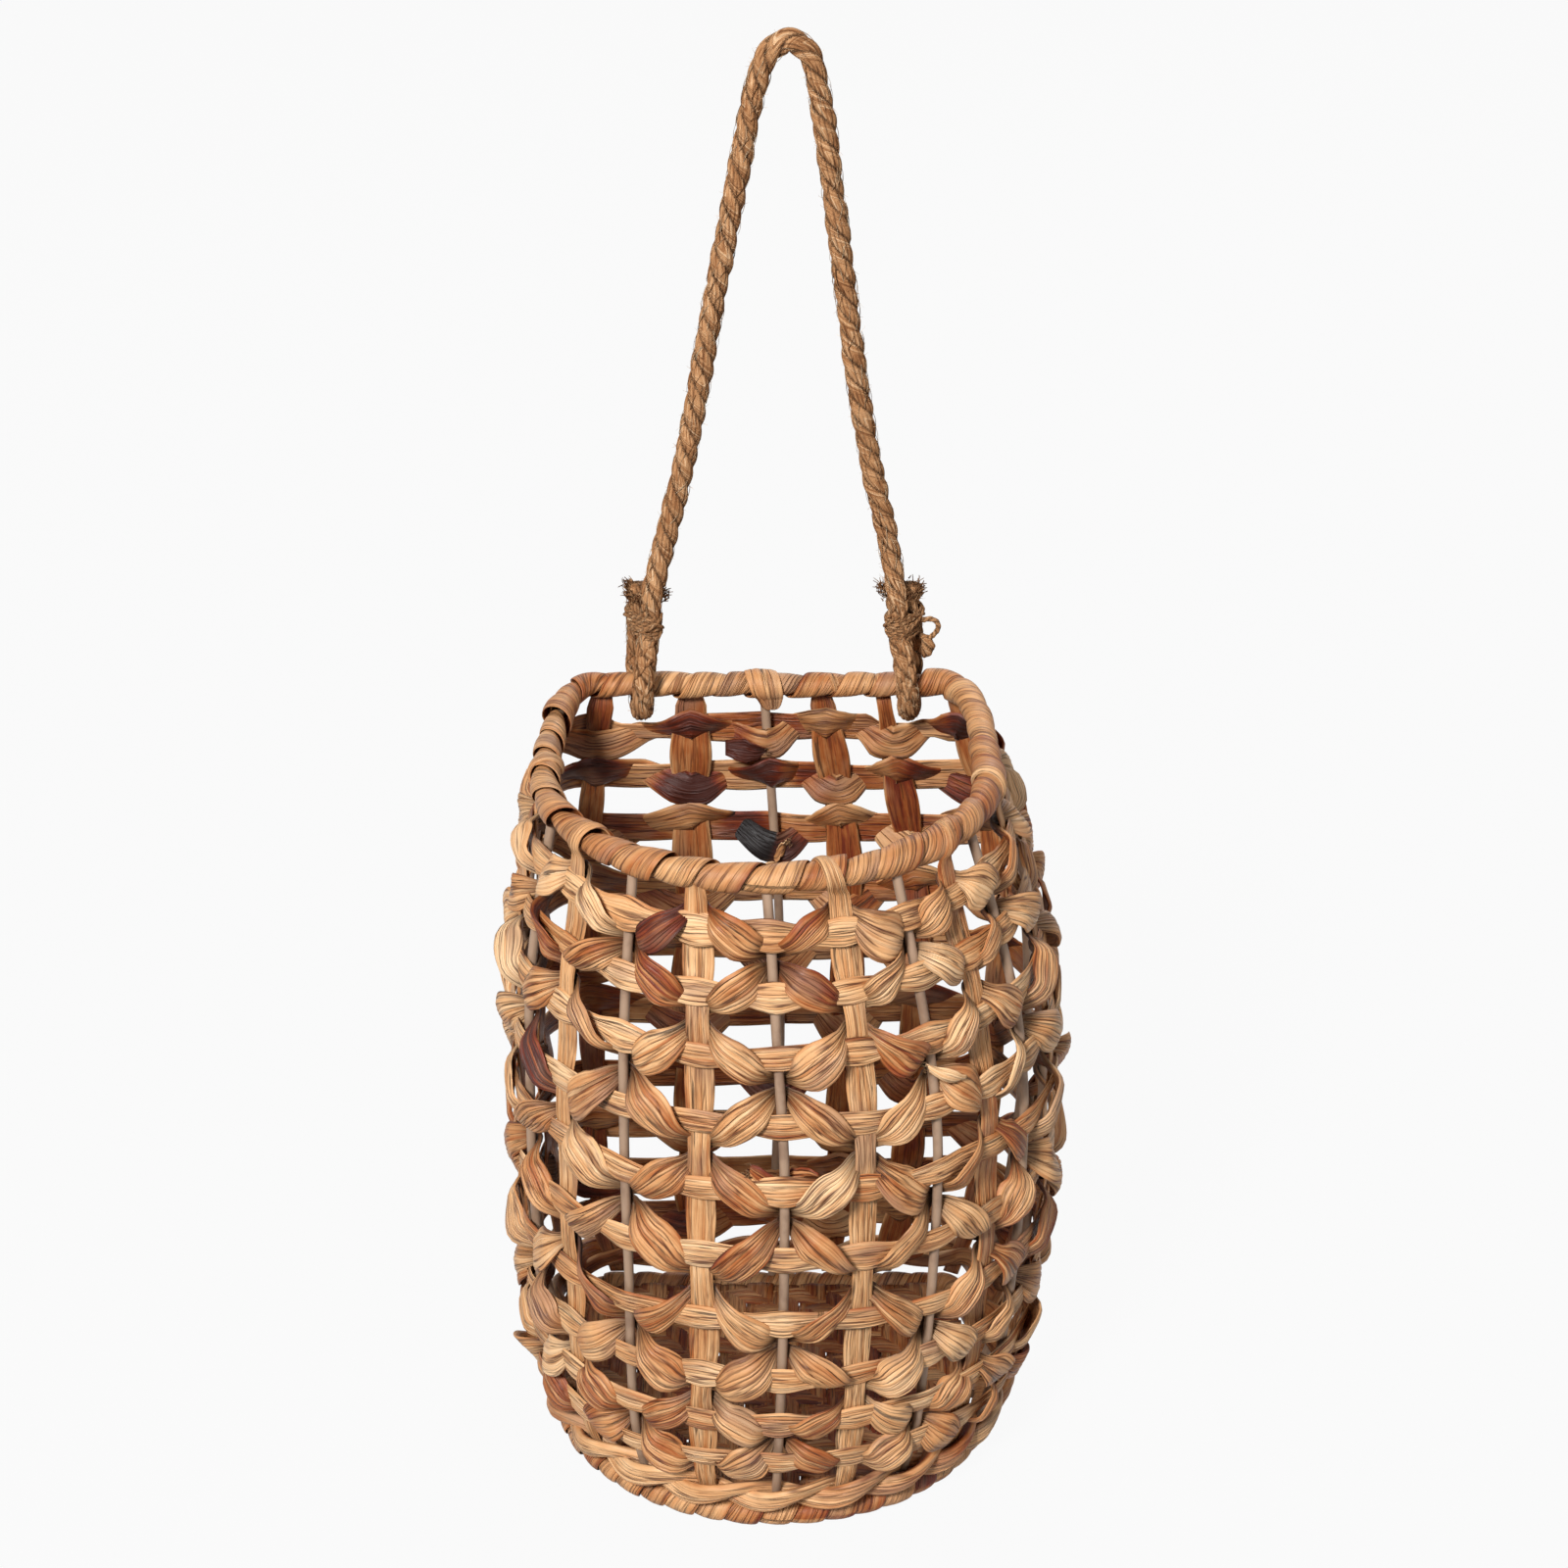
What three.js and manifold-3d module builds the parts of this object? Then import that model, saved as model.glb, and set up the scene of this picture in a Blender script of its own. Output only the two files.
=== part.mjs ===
// Hanging basket: leaf woven open over a wire frame, with a rope handle looped round its straight back.
// Millimetres, +Z up. The straight back faces +Y, the round front faces -Y, and the basket stands on z = 0.
import { BufferGeometry, ExtrudeGeometry, Float32BufferAttribute, Group, Mesh } from 'three';
import { CatmullRomCurve3, MeshStandardMaterial, Path, Shape, Vector3 } from 'three';
import { mergeVertices } from 'three/addons/utils/BufferGeometryUtils.js';
import Module from 'manifold-3d';

// Body
const bodyHeight = 345; // from the centre of the top ring to the centre of the foot ring
const rimHalfWidth = 99.5;
const rimFrontReach = 94;
const rimBackReach = 91;
const backHalfStraight = 80;
const cornerPull = 16;
const sideStraightShare = 0.62;

// The wall's half width, front reach and back reach at nine even heights, as shares of the rim's
const sideBulgeShares = [1, 1.11, 1.2, 1.24, 1.25, 1.24, 1.215, 1.17, 1.04];
const frontBulgeShares = [1, 1.09, 1.15, 1.18, 1.18, 1.165, 1.14, 1.1, 1];
const backBulgeShares = [1, 1.03, 1.05, 1.06, 1.06, 1.05, 1.04, 1.01, 0.95];
// The rim was bound a little to one side of the body
const leanShares = [-0.077, -0.047, -0.02, -0.002, 0.001, -0.002, -0.014, -0.027, -0.042];
const widestLineY = 6.5; // the body's widest line lies behind the middle of its depth

// Uprights, counted from the front centre round by the right. Their places are shares of the way round.
const uprightShares = [
  0, 0.044, 0.087, 0.124, 0.16, 0.21, 0.26, 0.297, 0.3335, 0.37, 0.42,
  0.462, 0.503, 0.555, 0.618, 0.672, 0.723, 0.77, 0.8185, 0.864, 0.909, 0.955,
];
const plainStakeCounts = [10, 14]; // even places where the maker put a leaf stake instead of a wire
const wireRadius = 2.1;
const wireSides = 6;
const seatGap = 0.3;

// Weave
const rowCount = 5;
const levelShares = [
  0.034, 0.07, 0.111, 0.149, 0.187, 0.234, 0.282, 0.333, 0.382, 0.43, 0.482,
  0.537, 0.588, 0.641, 0.69, 0.735, 0.774, 0.812, 0.849, 0.884, 0.916,
];
const leafThickness = 1.2;
const bandWidth = 6;
const petalWidth = 12;
const petalTravelShare = 0.44; // a petal's width is at most this share of its climb
const petalPinch = 5;
const petalOut = 5;
const petalStartShare = 0.34;
const petalDropShare = 0.2;
const stakeWidth = 11;
const stakePinch = 7.8;
const stakeEndWidth = 6;
const stakeSwing = 1.15;

// Rim and foot binding
const rimRadius = 6.0;
const footRadius = 5.6;
const wrapGap = 11.4; // left open at each upright
const wrapWidth = 17; // of the binding between two gaps, at the most
const wrapSteps = 6;
const wrapClearance = 2.3;
const footCut = 0.5; // the binding is worn flat where the basket stands
const hookWidth = 7;
const hookStartAngle = 3.5; // round the rim, from straight out, over the top and into the mouth
const hookEndAngle = -0.8;
const hookSteps = 6;

// Border of two twined strands above the foot
const borderShare = 0.952;
const borderSwing = 4.6;
const borderWidth = 6.6;
const borderThickness = 3.8;
const borderSteps = 3;

// Base
const baseRunCounts = [[0.25, 11.25], [2.25, 10.25], [20.25, 13.25], [5.25, 17.25], [7.25, 15.25]];
const matThickness = 3;
const matInset = 7;

// Rope handle, from one lashed end to the other, measured from the middle of the rim's straight back
const ropeRadius = 5.1;
const ropeSteps = 76;
const ropeSides = 8;
const ropePoints = [
  [-70.8, 5.3, 56], [-68.7, 4.4, 46], [-68.7, 4.5, 35], [-69.6, 9, 19], [-69.9, 11.7, 4],
  [-69.2, 8.4, -8], [-68, 0, -11.8], [-66.8, -8.4, -8], [-66, -11.7, 4], [-64.6, -9, 19],
  [-62.4, -4.5, 35], [-62, -4.4, 46], [-58.7, -1.3, 60], [-55.4, 0, 73], [-44.8, 0, 117],
  [-32.4, 0, 185], [-19.6, 0, 252], [-11.6, 0, 291], [-6.6, 0, 303.5], [2, 0, 309],
  [10.6, 0, 303.5], [14.6, 0, 290], [23.2, 0, 230], [33, 0, 154], [40.4, 0, 110],
  [46.8, 0, 82], [50.4, -1.2, 62], [52.7, -4.4, 46], [53, -4.5, 35], [55.8, -9, 19],
  [57.7, -11.7, 4], [58.6, -8.4, -8], [59.5, 0, -11.8], [60.4, 8.4, -8], [61, 11.7, 4],
  [60.8, 9, 19], [59.5, 4.5, 35], [59.5, 4.4, 46], [61.2, 5.3, 56],
];
const lashedPointCounts = [[1, 11], [27, 37]]; // the rope points that each lashing binds together
const lashingDrop = 5; // from those points to the middle of the lashing
const lashingTurns = 3;
const twineClearance = 0.8;
const twineRadius = 1.5;
const twinePitch = 3.8;
const twineSteps = 12;
const twineSides = 5;

const count = uprightShares.length;
const even = (place) => place % 2 === 0;
const wrapIndex = (place) => ((place % count) + count) % count;
const isWire = (place) => even(place) && !plainStakeCounts.includes(wrapIndex(place));
const footLift = footRadius - footCut;
const topHeight = bodyHeight + footLift;
const frameReachShare = 0.3; // how far each way along the wall its direction is measured
const ringReachShare = 0.5;
const wrapReachShare = 0.25;
const backMiddleCount = 12;

function rimOutline() {
  const path = new Path();
  path.absellipse(0, 0, rimHalfWidth, rimFrontReach, -Math.PI / 2, 0, false, 0);
  const side = rimBackReach * sideStraightShare;
  const corner = backHalfStraight + cornerPull;
  path.bezierCurveTo(rimHalfWidth, side, corner, rimBackReach, backHalfStraight, rimBackReach);
  path.lineTo(-backHalfStraight, rimBackReach);
  path.bezierCurveTo(-corner, rimBackReach, -rimHalfWidth, side, -rimHalfWidth, 0);
  path.absellipse(0, 0, rimHalfWidth, rimFrontReach, Math.PI, 1.5 * Math.PI, false, 0);
  return path;
}
const outline = rimOutline();

// A smooth curve through evenly spaced values
function smoothValue(values, share) {
  const last = values.length - 1;
  const at = Math.min(Math.max(share, 0), 1) * last;
  const i = Math.min(Math.floor(at), last - 1);
  const t = at - i;
  const [b, c] = [values[i], values[i + 1]];
  const a = i > 0 ? values[i - 1] : 2 * b - c;
  const d = i + 2 <= last ? values[i + 2] : 2 * c - b;
  const rise = (c - a) / 2;
  const fall = (d - b) / 2;
  return b + t * (rise + t * (3 * (c - b) - 2 * rise - fall + t * (2 * (b - c) + rise + fall)));
}

// A point of the rim's outline, spread to the wall's width at a drop below the top ring
function spread(spot, drop) {
  const share = drop / bodyHeight;
  const reach = spot.y < 0 ? frontBulgeShares : backBulgeShares;
  const lean = rimHalfWidth * smoothValue(leanShares, share);
  const x = spot.x * smoothValue(sideBulgeShares, share) + lean;
  const y = spot.y * smoothValue(reach, share) + widestLineY;
  return new Vector3(x, y, topHeight - drop);
}

function shareOf(place) {
  const i = Math.floor(place);
  const turns = Math.floor(i / count);
  const from = uprightShares[i - turns * count];
  const to = i - turns * count + 1 < count ? uprightShares[i - turns * count + 1] : 1;
  return from + (to - from) * (place - i);
}

function stepLength(place) {
  const low = ((place % count) + count) % count;
  return (shareOf(low + 1) - shareOf(low) + (low + 1 === count ? 1 : 0)) * outline.getLength();
}

const spots = uprightShares.map((share) => outline.getPointAt(share));
const ringSpots = [];
for (let k = 0; k < 2 * count; k += 1) ringSpots.push(outline.getPointAt(shareOf(k / 2)));

function between(list, at, drop) {
  const i = Math.floor(at);
  const from = spread(list[((i % list.length) + list.length) % list.length], drop);
  const to = spread(list[(((i + 1) % list.length) + list.length) % list.length], drop);
  return from.lerp(to, at - i);
}
const wallPoint = (place, drop) => between(spots, place, drop);
const ringPoint = (place, drop) => between(ringSpots, 2 * place, drop);

// The wall at a place: its point, and the directions along it, down it and out of it
function wallFrame(place, drop, point = wallPoint, reach = frameReachShare) {
  const along = point(place + reach, drop).sub(point(place - reach, drop)).normalize();
  const lower = Math.min(drop + reach * wireRadius, bodyHeight);
  const down = point(place, lower).sub(point(place, lower - wireRadius)).normalize();
  const out = new Vector3().crossVectors(down, along).normalize();
  return { at: point(place, drop), along, down, out };
}

function wallOffset(place, drop, outward) {
  const frame = wallFrame(place, drop);
  return frame.at.addScaledVector(frame.out, outward);
}

// How far a straight piece must stand off at a place, so that its edges clear the turn of the wall
function turnLift(place, width) {
  const before = wallPoint(place, 0).sub(wallPoint(place - 1, 0));
  const after = wallPoint(place + 1, 0).sub(wallPoint(place, 0));
  return (width / 2) * Math.tan(before.angleTo(after) / 2);
}

// Skin over a row of sections, all with the same number of corners. The far half of each section is split
// along mirrored diagonals, so that the two skins of a thin, twisted leaf stay parallel.
function loft(sections, closed = false) {
  const corners = sections[0].length;
  const positions = sections.flatMap((ring) => ring.flatMap((p) => [p.x, p.y, p.z]));
  const index = [];
  const spans = closed ? sections.length : sections.length - 1;
  for (let i = 0; i < spans; i += 1) {
    const near = i * corners;
    const far = ((i + 1) % sections.length) * corners;
    for (let j = 0; j < corners; j += 1) {
      const k = (j + 1) % corners;
      if (2 * j < corners) index.push(near + j, near + k, far + k, near + j, far + k, far + j);
      else index.push(near + j, near + k, far + j, near + k, far + k, far + j);
    }
  }
  if (!closed) {
    const end = (sections.length - 1) * corners;
    for (let j = 1; j < corners - 1; j += 1) {
      index.push(0, j + 1, j, end, end + j, end + j + 1);
    }
  }
  const geometry = new BufferGeometry();
  geometry.setAttribute('position', new Float32BufferAttribute(positions, 3));
  geometry.setIndex(index);
  return faceOut(geometry);
}

function faceOut(geometry) {
  const position = geometry.getAttribute('position');
  const index = geometry.getIndex().array;
  const [a, b, c] = [new Vector3(), new Vector3(), new Vector3()];
  let volume = 0;
  for (let i = 0; i < index.length; i += 3) {
    a.fromBufferAttribute(position, index[i]);
    b.fromBufferAttribute(position, index[i + 1]);
    c.fromBufferAttribute(position, index[i + 2]);
    volume += a.dot(b.cross(c));
  }
  if (volume < 0) {
    for (let i = 0; i < index.length; i += 3) [index[i], index[i + 1]] = [index[i + 1], index[i]];
  }
  return geometry;
}

// Sections: a leaf lies flat between two edges, a round one has a number of sides
function leafSection(centre, across, out, width, thickness) {
  return [
    centre.clone().addScaledVector(across, width / 2),
    centre.clone().addScaledVector(out, thickness / 2),
    centre.clone().addScaledVector(across, -width / 2),
    centre.clone().addScaledVector(out, -thickness / 2),
  ];
}

function roundSection(centre, across, out, width, thickness, sides) {
  const section = [];
  for (let k = 0; k < sides; k += 1) {
    const angle = (2 * Math.PI * k) / sides;
    const corner = centre.clone().addScaledVector(across, (width / 2) * Math.cos(angle));
    section.push(corner.addScaledVector(out, (thickness / 2) * Math.sin(angle)));
  }
  return section;
}

// Tube along a list of points, with its sections square to it
function tube(points, radius, sides, closed = false) {
  const last = points.length - 1;
  let side = null;
  const sections = points.map((point, i) => {
    const before = closed ? points[(i + last) % points.length] : points[Math.max(i - 1, 0)];
    const after = closed ? points[(i + 1) % points.length] : points[Math.min(i + 1, last)];
    const along = after.clone().sub(before).normalize();
    if (!side) {
      const helper = Math.abs(along.z) > 0.9 ? new Vector3(0, 1, 0) : new Vector3(0, 0, 1);
      side = new Vector3().crossVectors(along, helper).normalize();
    }
    side = side.clone().addScaledVector(along, -side.dot(along)).normalize();
    const up = new Vector3().crossVectors(along, side);
    return roundSection(point, side, up, 2 * radius, 2 * radius, sides);
  });
  return loft(sections, closed);
}

const leafTan = { color: 0xc39a68, roughness: 0.75, metalness: 0 };
const leafAmber = { color: 0xb0743c, roughness: 0.7, metalness: 0 };
const leafDark = { color: 0x8a4a26, roughness: 0.7, metalness: 0 };
const wirePaint = { color: 0x99856f, roughness: 0.5, metalness: 0.1 };
const jute = { color: 0xa37c4e, roughness: 0.95, metalness: 0 };

const basket = new Group();
const handle = new Group();

function add(group, name, geometry, finish) {
  const mesh = new Mesh(geometry, new MeshStandardMaterial(finish));
  mesh.name = name;
  mesh.geometry.computeVertexNormals();
  group.add(mesh);
}

// Rings
function ringWire(drop) {
  const points = [];
  for (let k = 0; k < 2 * count; k += 1) points.push(ringPoint(k / 2, drop));
  const sections = points.map((point, k) => {
    const { out } = wallFrame(k / 2, drop, ringPoint, ringReachShare);
    const flatOut = new Vector3(out.x, out.y, 0).normalize();
    return roundSection(point, new Vector3(0, 0, 1), flatOut, 2 * wireRadius, 2 * wireRadius, wireSides);
  });
  return loft(sections, true);
}
add(basket, 'top_ring', ringWire(0), wirePaint);
add(basket, 'bottom_ring', ringWire(bodyHeight), wirePaint);

// Least distance between a winding's own turns, from rows of points, each a number of rows to a turn
function leastGap(rows, rowsPerTurn, thickness, closed) {
  let least = Infinity;
  for (let i = 0; i < rows.length; i += 1) {
    for (let j = i + Math.ceil(rowsPerTurn / 2); j < rows.length; j += 1) {
      if (closed && rows.length + i - j < rowsPerTurn / 2) break;
      for (const p of rows[i]) for (const q of rows[j]) least = Math.min(least, p.distanceTo(q));
    }
  }
  return least - thickness;
}

// Binding wound once round the ring between one upright and the next, leaving a gap for each upright.
// Where the basket stands, two of a turn's sections are set level to make its flat.
function ringBinding(name, drop, outerRadius, startTurn, flatDepth) {
  const sections = [];
  const outerRows = [];
  const innerRadius = wireRadius + wrapClearance;
  const shoulder = outerRadius - leafThickness / 2;
  const floor = topHeight - drop - outerRadius + flatDepth;
  const flatTurn = Math.acos(1 - flatDepth / outerRadius) / (2 * Math.PI);
  for (let k = 0; k < wrapSteps * count; k += 1) {
    const step = k % wrapSteps;
    const evenTurn = step / wrapSteps;
    const besideFlat = step ? flatTurn + ((step - 1) * (1 - 2 * flatTurn)) / (wrapSteps - 1) : -flatTurn;
    const place = Math.floor(k / wrapSteps) + (flatDepth > 0 ? besideFlat : evenTurn);
    const room = stepLength(Math.floor(place));
    const half = Math.min(room - wrapGap, wrapWidth) / room / 2;
    const angle = 2 * Math.PI * (place + startTurn);
    const outerSide = [[-half, shoulder], [0, outerRadius], [half, shoulder]];
    const innerSide = [[half, innerRadius], [0, innerRadius], [-half, innerRadius]];
    const section = [...outerSide, ...innerSide].map(([shift, radius]) => {
      const { at, along } = wallFrame(place + shift, drop, ringPoint, wrapReachShare);
      const outward = new Vector3(along.y, -along.x, 0).normalize();
      const corner = at.addScaledVector(outward, radius * Math.cos(angle));
      corner.z += radius * Math.sin(angle);
      if (flatDepth > 0 && step < 2 && radius > innerRadius) corner.z = floor;
      return corner;
    });
    sections.push(section);
    outerRows.push(section.slice(0, 3));
  }
  const gap = leastGap(outerRows, wrapSteps, 0, true);
  console.log(`${name}: least gap between its turns ${gap.toFixed(2)} mm`);
  return loft(sections, true);
}
add(basket, 'rim_wrap', ringBinding('rim_wrap', 0, rimRadius, 0.25, 0), leafTan);
add(basket, 'foot_wrap', ringBinding('foot_wrap', bodyHeight, footRadius, -0.25, footCut), leafTan);

// Levels of the weave. Band A, crossing at a wire, band B, crossing at a stake, and so on downwards.
const levelDrop = (level) => levelShares[level] * bodyHeight;
const levelsPerRowCount = 4;
const bandLevels = [];
for (let row = 0; row < rowCount; row += 1) {
  const rowTop = levelsPerRowCount * row;
  bandLevels.push(rowTop + 1, rowTop + levelsPerRowCount - 1);
}

// Wires run from ring to ring
function uprightWire(place) {
  const sections = [];
  const from = wireRadius + seatGap;
  const to = bodyHeight - from;
  for (let k = 0; k <= 2 * rowCount; k += 1) {
    const drop = from + ((to - from) * k) / (2 * rowCount);
    const { at, along, out } = wallFrame(place, drop);
    const flatOut = new Vector3(out.x, out.y, 0).normalize();
    sections.push(roundSection(at, along, flatOut, 2 * wireRadius, 2 * wireRadius, wireSides));
  }
  return loft(sections);
}

// A stake hooks over the bound rim, swings out past each weaver and in behind the bands
function leafStake(place) {
  const sections = [];
  const turn = rimRadius + seatGap + leafThickness / 2 + turnLift(place, hookWidth);
  const { along, out } = wallFrame(place, 0);
  const flatOut = new Vector3(out.x, out.y, 0).normalize();
  const top = wallPoint(place, 0);
  for (let k = 0; k <= hookSteps; k += 1) {
    const angle = hookStartAngle + ((hookEndAngle - hookStartAngle) * k) / hookSteps;
    const radial = flatOut.clone().multiplyScalar(Math.cos(angle)).setZ(Math.sin(angle));
    const centre = top.clone().addScaledVector(radial, turn);
    sections.push(leafSection(centre, along, radial, hookWidth, leafThickness));
  }
  for (let level = 0; level < levelShares.length; level += 2) {
    const crossing = level % levelsPerRowCount === (even(place) ? levelsPerRowCount / 2 : 0);
    const drop = levelDrop(level);
    const frame = wallFrame(place, drop);
    const centre = frame.at.addScaledVector(frame.out, crossing ? stakeSwing : -stakeSwing);
    const width = crossing ? stakePinch : stakeWidth;
    sections.push(leafSection(centre, frame.along, frame.out, width, leafThickness));
  }
  const endDrop = bodyHeight - footRadius - seatGap - leafThickness;
  const end = wallFrame(place, endDrop);
  sections.push(leafSection(end.at, end.along, end.out, stakeEndWidth, leafThickness));
  return loft(sections);
}

let wireNumber = 0;
let stakeNumber = 0;
for (let place = 0; place < count; place += 1) {
  if (isWire(place)) {
    wireNumber += 1;
    add(basket, `upright_wire_${wireNumber}`, uprightWire(place), wirePaint);
  } else {
    stakeNumber += 1;
    add(basket, `leaf_stake_${stakeNumber}`, leafStake(place), stakeNumber % 3 ? leafAmber : leafTan);
  }
}

// A band lies outside every upright
function bandOut(place) {
  const clear = seatGap + leafThickness / 2;
  return isWire(place) ? wireRadius + clear : leafThickness / 2 + clear + turnLift(place, stakeWidth);
}
function band(level) {
  const sections = [];
  for (let place = 0; place < count; place += 1) {
    const frame = wallFrame(place, levelDrop(level));
    const centre = frame.at.addScaledVector(frame.out, bandOut(place));
    sections.push(leafSection(centre, frame.down, frame.out, bandWidth, leafThickness));
  }
  return loft(sections, true);
}
bandLevels.forEach((level, i) => {
  const letter = i % 2 ? 'b' : 'a';
  add(basket, `band_${Math.floor(i / 2) + 1}${letter}`, band(level), i % 4 ? leafTan : leafAmber);
});

// A weaver dips inside each upright and comes out over the band as a petal in between
function petalWeaver(level) {
  const sections = [];
  const upper = level - 1;
  const lower = level + 1;
  const wireDrop = levelDrop(level % levelsPerRowCount === 1 ? lower : upper);
  const stakeDrop = levelDrop(level % levelsPerRowCount === 1 ? upper : lower);
  const nudge = (wireDrop > stakeDrop ? 1 : -1) * (petalPinch / 2 + seatGap);
  const travel = Math.abs(wireDrop - stakeDrop) - 2 * Math.abs(nudge);
  const width = Math.min(petalWidth, petalTravelShare * travel);
  const behindWire = -wireRadius - seatGap - leafThickness / 2;
  const behindStake = stakeSwing - seatGap - 1.5 * leafThickness;
  const inside = (place) => (isWire(place) ? behindWire : behindStake);
  for (let place = 0; place < count; place += 1) {
    const here = even(place) ? wireDrop - nudge : stakeDrop + nudge;
    const there = even(place) ? stakeDrop + nudge : wireDrop - nudge;
    const rest = (isWire(place) ? 1.5 * wireRadius : stakePinch / 2 + leafThickness) + seatGap;
    const shape = [
      [-rest / stepLength(place - 1), here, inside(place), petalPinch],
      [rest / stepLength(place), here, inside(place), petalPinch],
      [petalStartShare, here + (there - here) * petalDropShare, petalOut, width],
      [1 - petalStartShare, there + (here - there) * petalDropShare, petalOut, width],
    ];
    for (const [shift, drop, outward, across] of shape) {
      sections.push({ place: place + shift, drop, outward, width: across });
    }
  }
  const points = sections.map((s) => wallOffset(s.place, s.drop, s.outward));
  const rings = sections.map((s, i) => {
    const before = points[(i + points.length - 1) % points.length];
    const after = points[(i + 1) % points.length];
    const along = after.clone().sub(before).normalize();
    const { out } = wallFrame(s.place, s.drop);
    const across = new Vector3().crossVectors(out, along).normalize();
    const up = new Vector3().crossVectors(along, across).normalize();
    return leafSection(points[i], across, up, s.width, leafThickness);
  });
  return loft(rings, true);
}
bandLevels.forEach((level, i) => {
  add(basket, `petal_weaver_${i + 1}`, petalWeaver(level), i % 3 ? leafTan : leafDark);
});

// Two strands twine round each other and enclose every upright
function borderStrand(side) {
  const sections = [];
  for (let k = 0; k < borderSteps * count; k += 1) {
    const place = k / borderSteps;
    const angle = Math.PI * place;
    const drop = borderShare * bodyHeight - side * borderSwing * Math.sin(angle);
    const frame = wallFrame(place, drop);
    const lift = turnLift(Math.round(place), stakeEndWidth) * Math.max(side * Math.cos(angle), 0);
    const centre = frame.at.addScaledVector(frame.out, side * borderSwing * Math.cos(angle) + lift);
    sections.push(leafSection(centre, frame.down, frame.out, borderWidth, borderThickness));
  }
  return loft(sections, true);
}
add(basket, 'border_strand_1', borderStrand(1), leafTan);
add(basket, 'border_strand_2', borderStrand(-1), leafAmber);

// Base: wires welded where they cross, and a leaf mat on them
const wasm = await Module();
wasm.setup();

function toSolid(geometry) {
  const bare = geometry.clone();
  bare.deleteAttribute('normal');
  bare.deleteAttribute('uv');
  const merged = mergeVertices(bare);
  const vertProperties = Float32Array.from(merged.getAttribute('position').array);
  const triVerts = Uint32Array.from(merged.getIndex().array);
  return new wasm.Manifold(new wasm.Mesh({ numProp: 3, vertProperties, triVerts }));
}

function toGeometry(solid) {
  const { numProp, vertProperties, triVerts } = solid.getMesh();
  const positions = [];
  for (let i = 0; i < vertProperties.length; i += numProp) {
    positions.push(...vertProperties.slice(i, i + 3));
  }
  const geometry = new BufferGeometry();
  geometry.setAttribute('position', new Float32BufferAttribute(positions, 3));
  geometry.setIndex([...triVerts]);
  return geometry;
}

// A wire that meets the ring at a slant stops short of it by this much
function endGap(place, along) {
  const ringAlong = wallFrame(place, bodyHeight, ringPoint, wrapReachShare).along;
  const slant = Math.PI / 2 - Math.acos(Math.min(Math.abs(ringAlong.dot(along)), 1));
  return (wireRadius + seatGap) / Math.cos(slant) + wireRadius * Math.tan(slant);
}

function baseWires() {
  let joined = null;
  for (const [front, back] of baseRunCounts) {
    const from = ringPoint(front, bodyHeight);
    const to = ringPoint(back, bodyHeight);
    const along = to.clone().sub(from).normalize();
    from.addScaledVector(along, endGap(front, along));
    to.addScaledVector(along, -endGap(back, along));
    const run = toSolid(tube([from, to], wireRadius, wireSides));
    joined = joined ? joined.add(run) : run;
  }
  return toGeometry(joined);
}
add(basket, 'base_wires', baseWires(), wirePaint);

function baseMat() {
  const shape = new Shape();
  for (let k = 0; k < 2 * count; k += 1) {
    const { at, along } = wallFrame(k / 2, bodyHeight, ringPoint, ringReachShare);
    const inward = new Vector3(-along.y, along.x, 0).normalize();
    const edge = at.addScaledVector(inward, matInset);
    if (k === 0) shape.moveTo(edge.x, edge.y);
    else shape.lineTo(edge.x, edge.y);
  }
  shape.closePath();
  const mat = new ExtrudeGeometry(shape, { depth: matThickness, bevelEnabled: false });
  mat.translate(0, 0, footLift + wireRadius + seatGap);
  return mat;
}
add(basket, 'base_mat', baseMat(), leafTan);

// The handle turns on the middle of the rim's straight back
const backMiddle = ringPoint(backMiddleCount, 0);
handle.position.set(0, backMiddle.y, topHeight);

// A path whose steps are shared evenly among its points, so that the tight loops get as many as the rest
class RopePath extends CatmullRomCurve3 {
  getPointAt(share, target) {
    return this.getPoint(share, target);
  }
  getTangentAt(share, target) {
    return this.getTangent(share, target);
  }
}

function ropeTube() {
  const path = new RopePath(ropePoints.map((p) => new Vector3(...p)), false, 'centripetal');
  const section = new Shape();
  for (let k = 0; k < ropeSides; k += 1) {
    const angle = (2 * Math.PI * (k + 0.5)) / ropeSides;
    const [x, y] = [ropeRadius * Math.cos(angle), ropeRadius * Math.sin(angle)];
    if (k === 0) section.moveTo(x, y);
    else section.lineTo(x, y);
  }
  section.closePath();
  return new ExtrudeGeometry(section, { steps: ropeSteps, extrudePath: path, bevelEnabled: false });
}
add(handle, 'handle_rope', ropeTube(), jute);

// Twine wound round two lengths of the rope: half a turn round one, then half a turn round the other
function lashing(name, pair) {
  const [near, far] = pair.map((i) => new Vector3(...ropePoints[i]));
  const across = far.clone().sub(near).setZ(0).multiplyScalar(0.5);
  const middle = near.clone().add(far).multiplyScalar(0.5);
  const along = across.clone().normalize();
  const aside = new Vector3(-along.y, along.x, 0);
  const reach = ropeRadius + twineClearance + twineRadius;
  const points = [];
  for (let k = 0; k <= lashingTurns * twineSteps; k += 1) {
    const angle = (2 * Math.PI * (k + 0.5)) / twineSteps;
    const point = middle.clone().addScaledVector(across, Math.sign(Math.cos(angle)));
    point.addScaledVector(along, reach * Math.cos(angle)).addScaledVector(aside, reach * Math.sin(angle));
    point.z += twinePitch * (k / twineSteps - lashingTurns / 2) - lashingDrop;
    points.push(point);
  }
  const gap = leastGap(points.map((p) => [p]), twineSteps, 2 * twineRadius, false);
  console.log(`${name}: least gap between its turns ${gap.toFixed(2)} mm`);
  return tube(points, twineRadius, twineSides);
}
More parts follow.
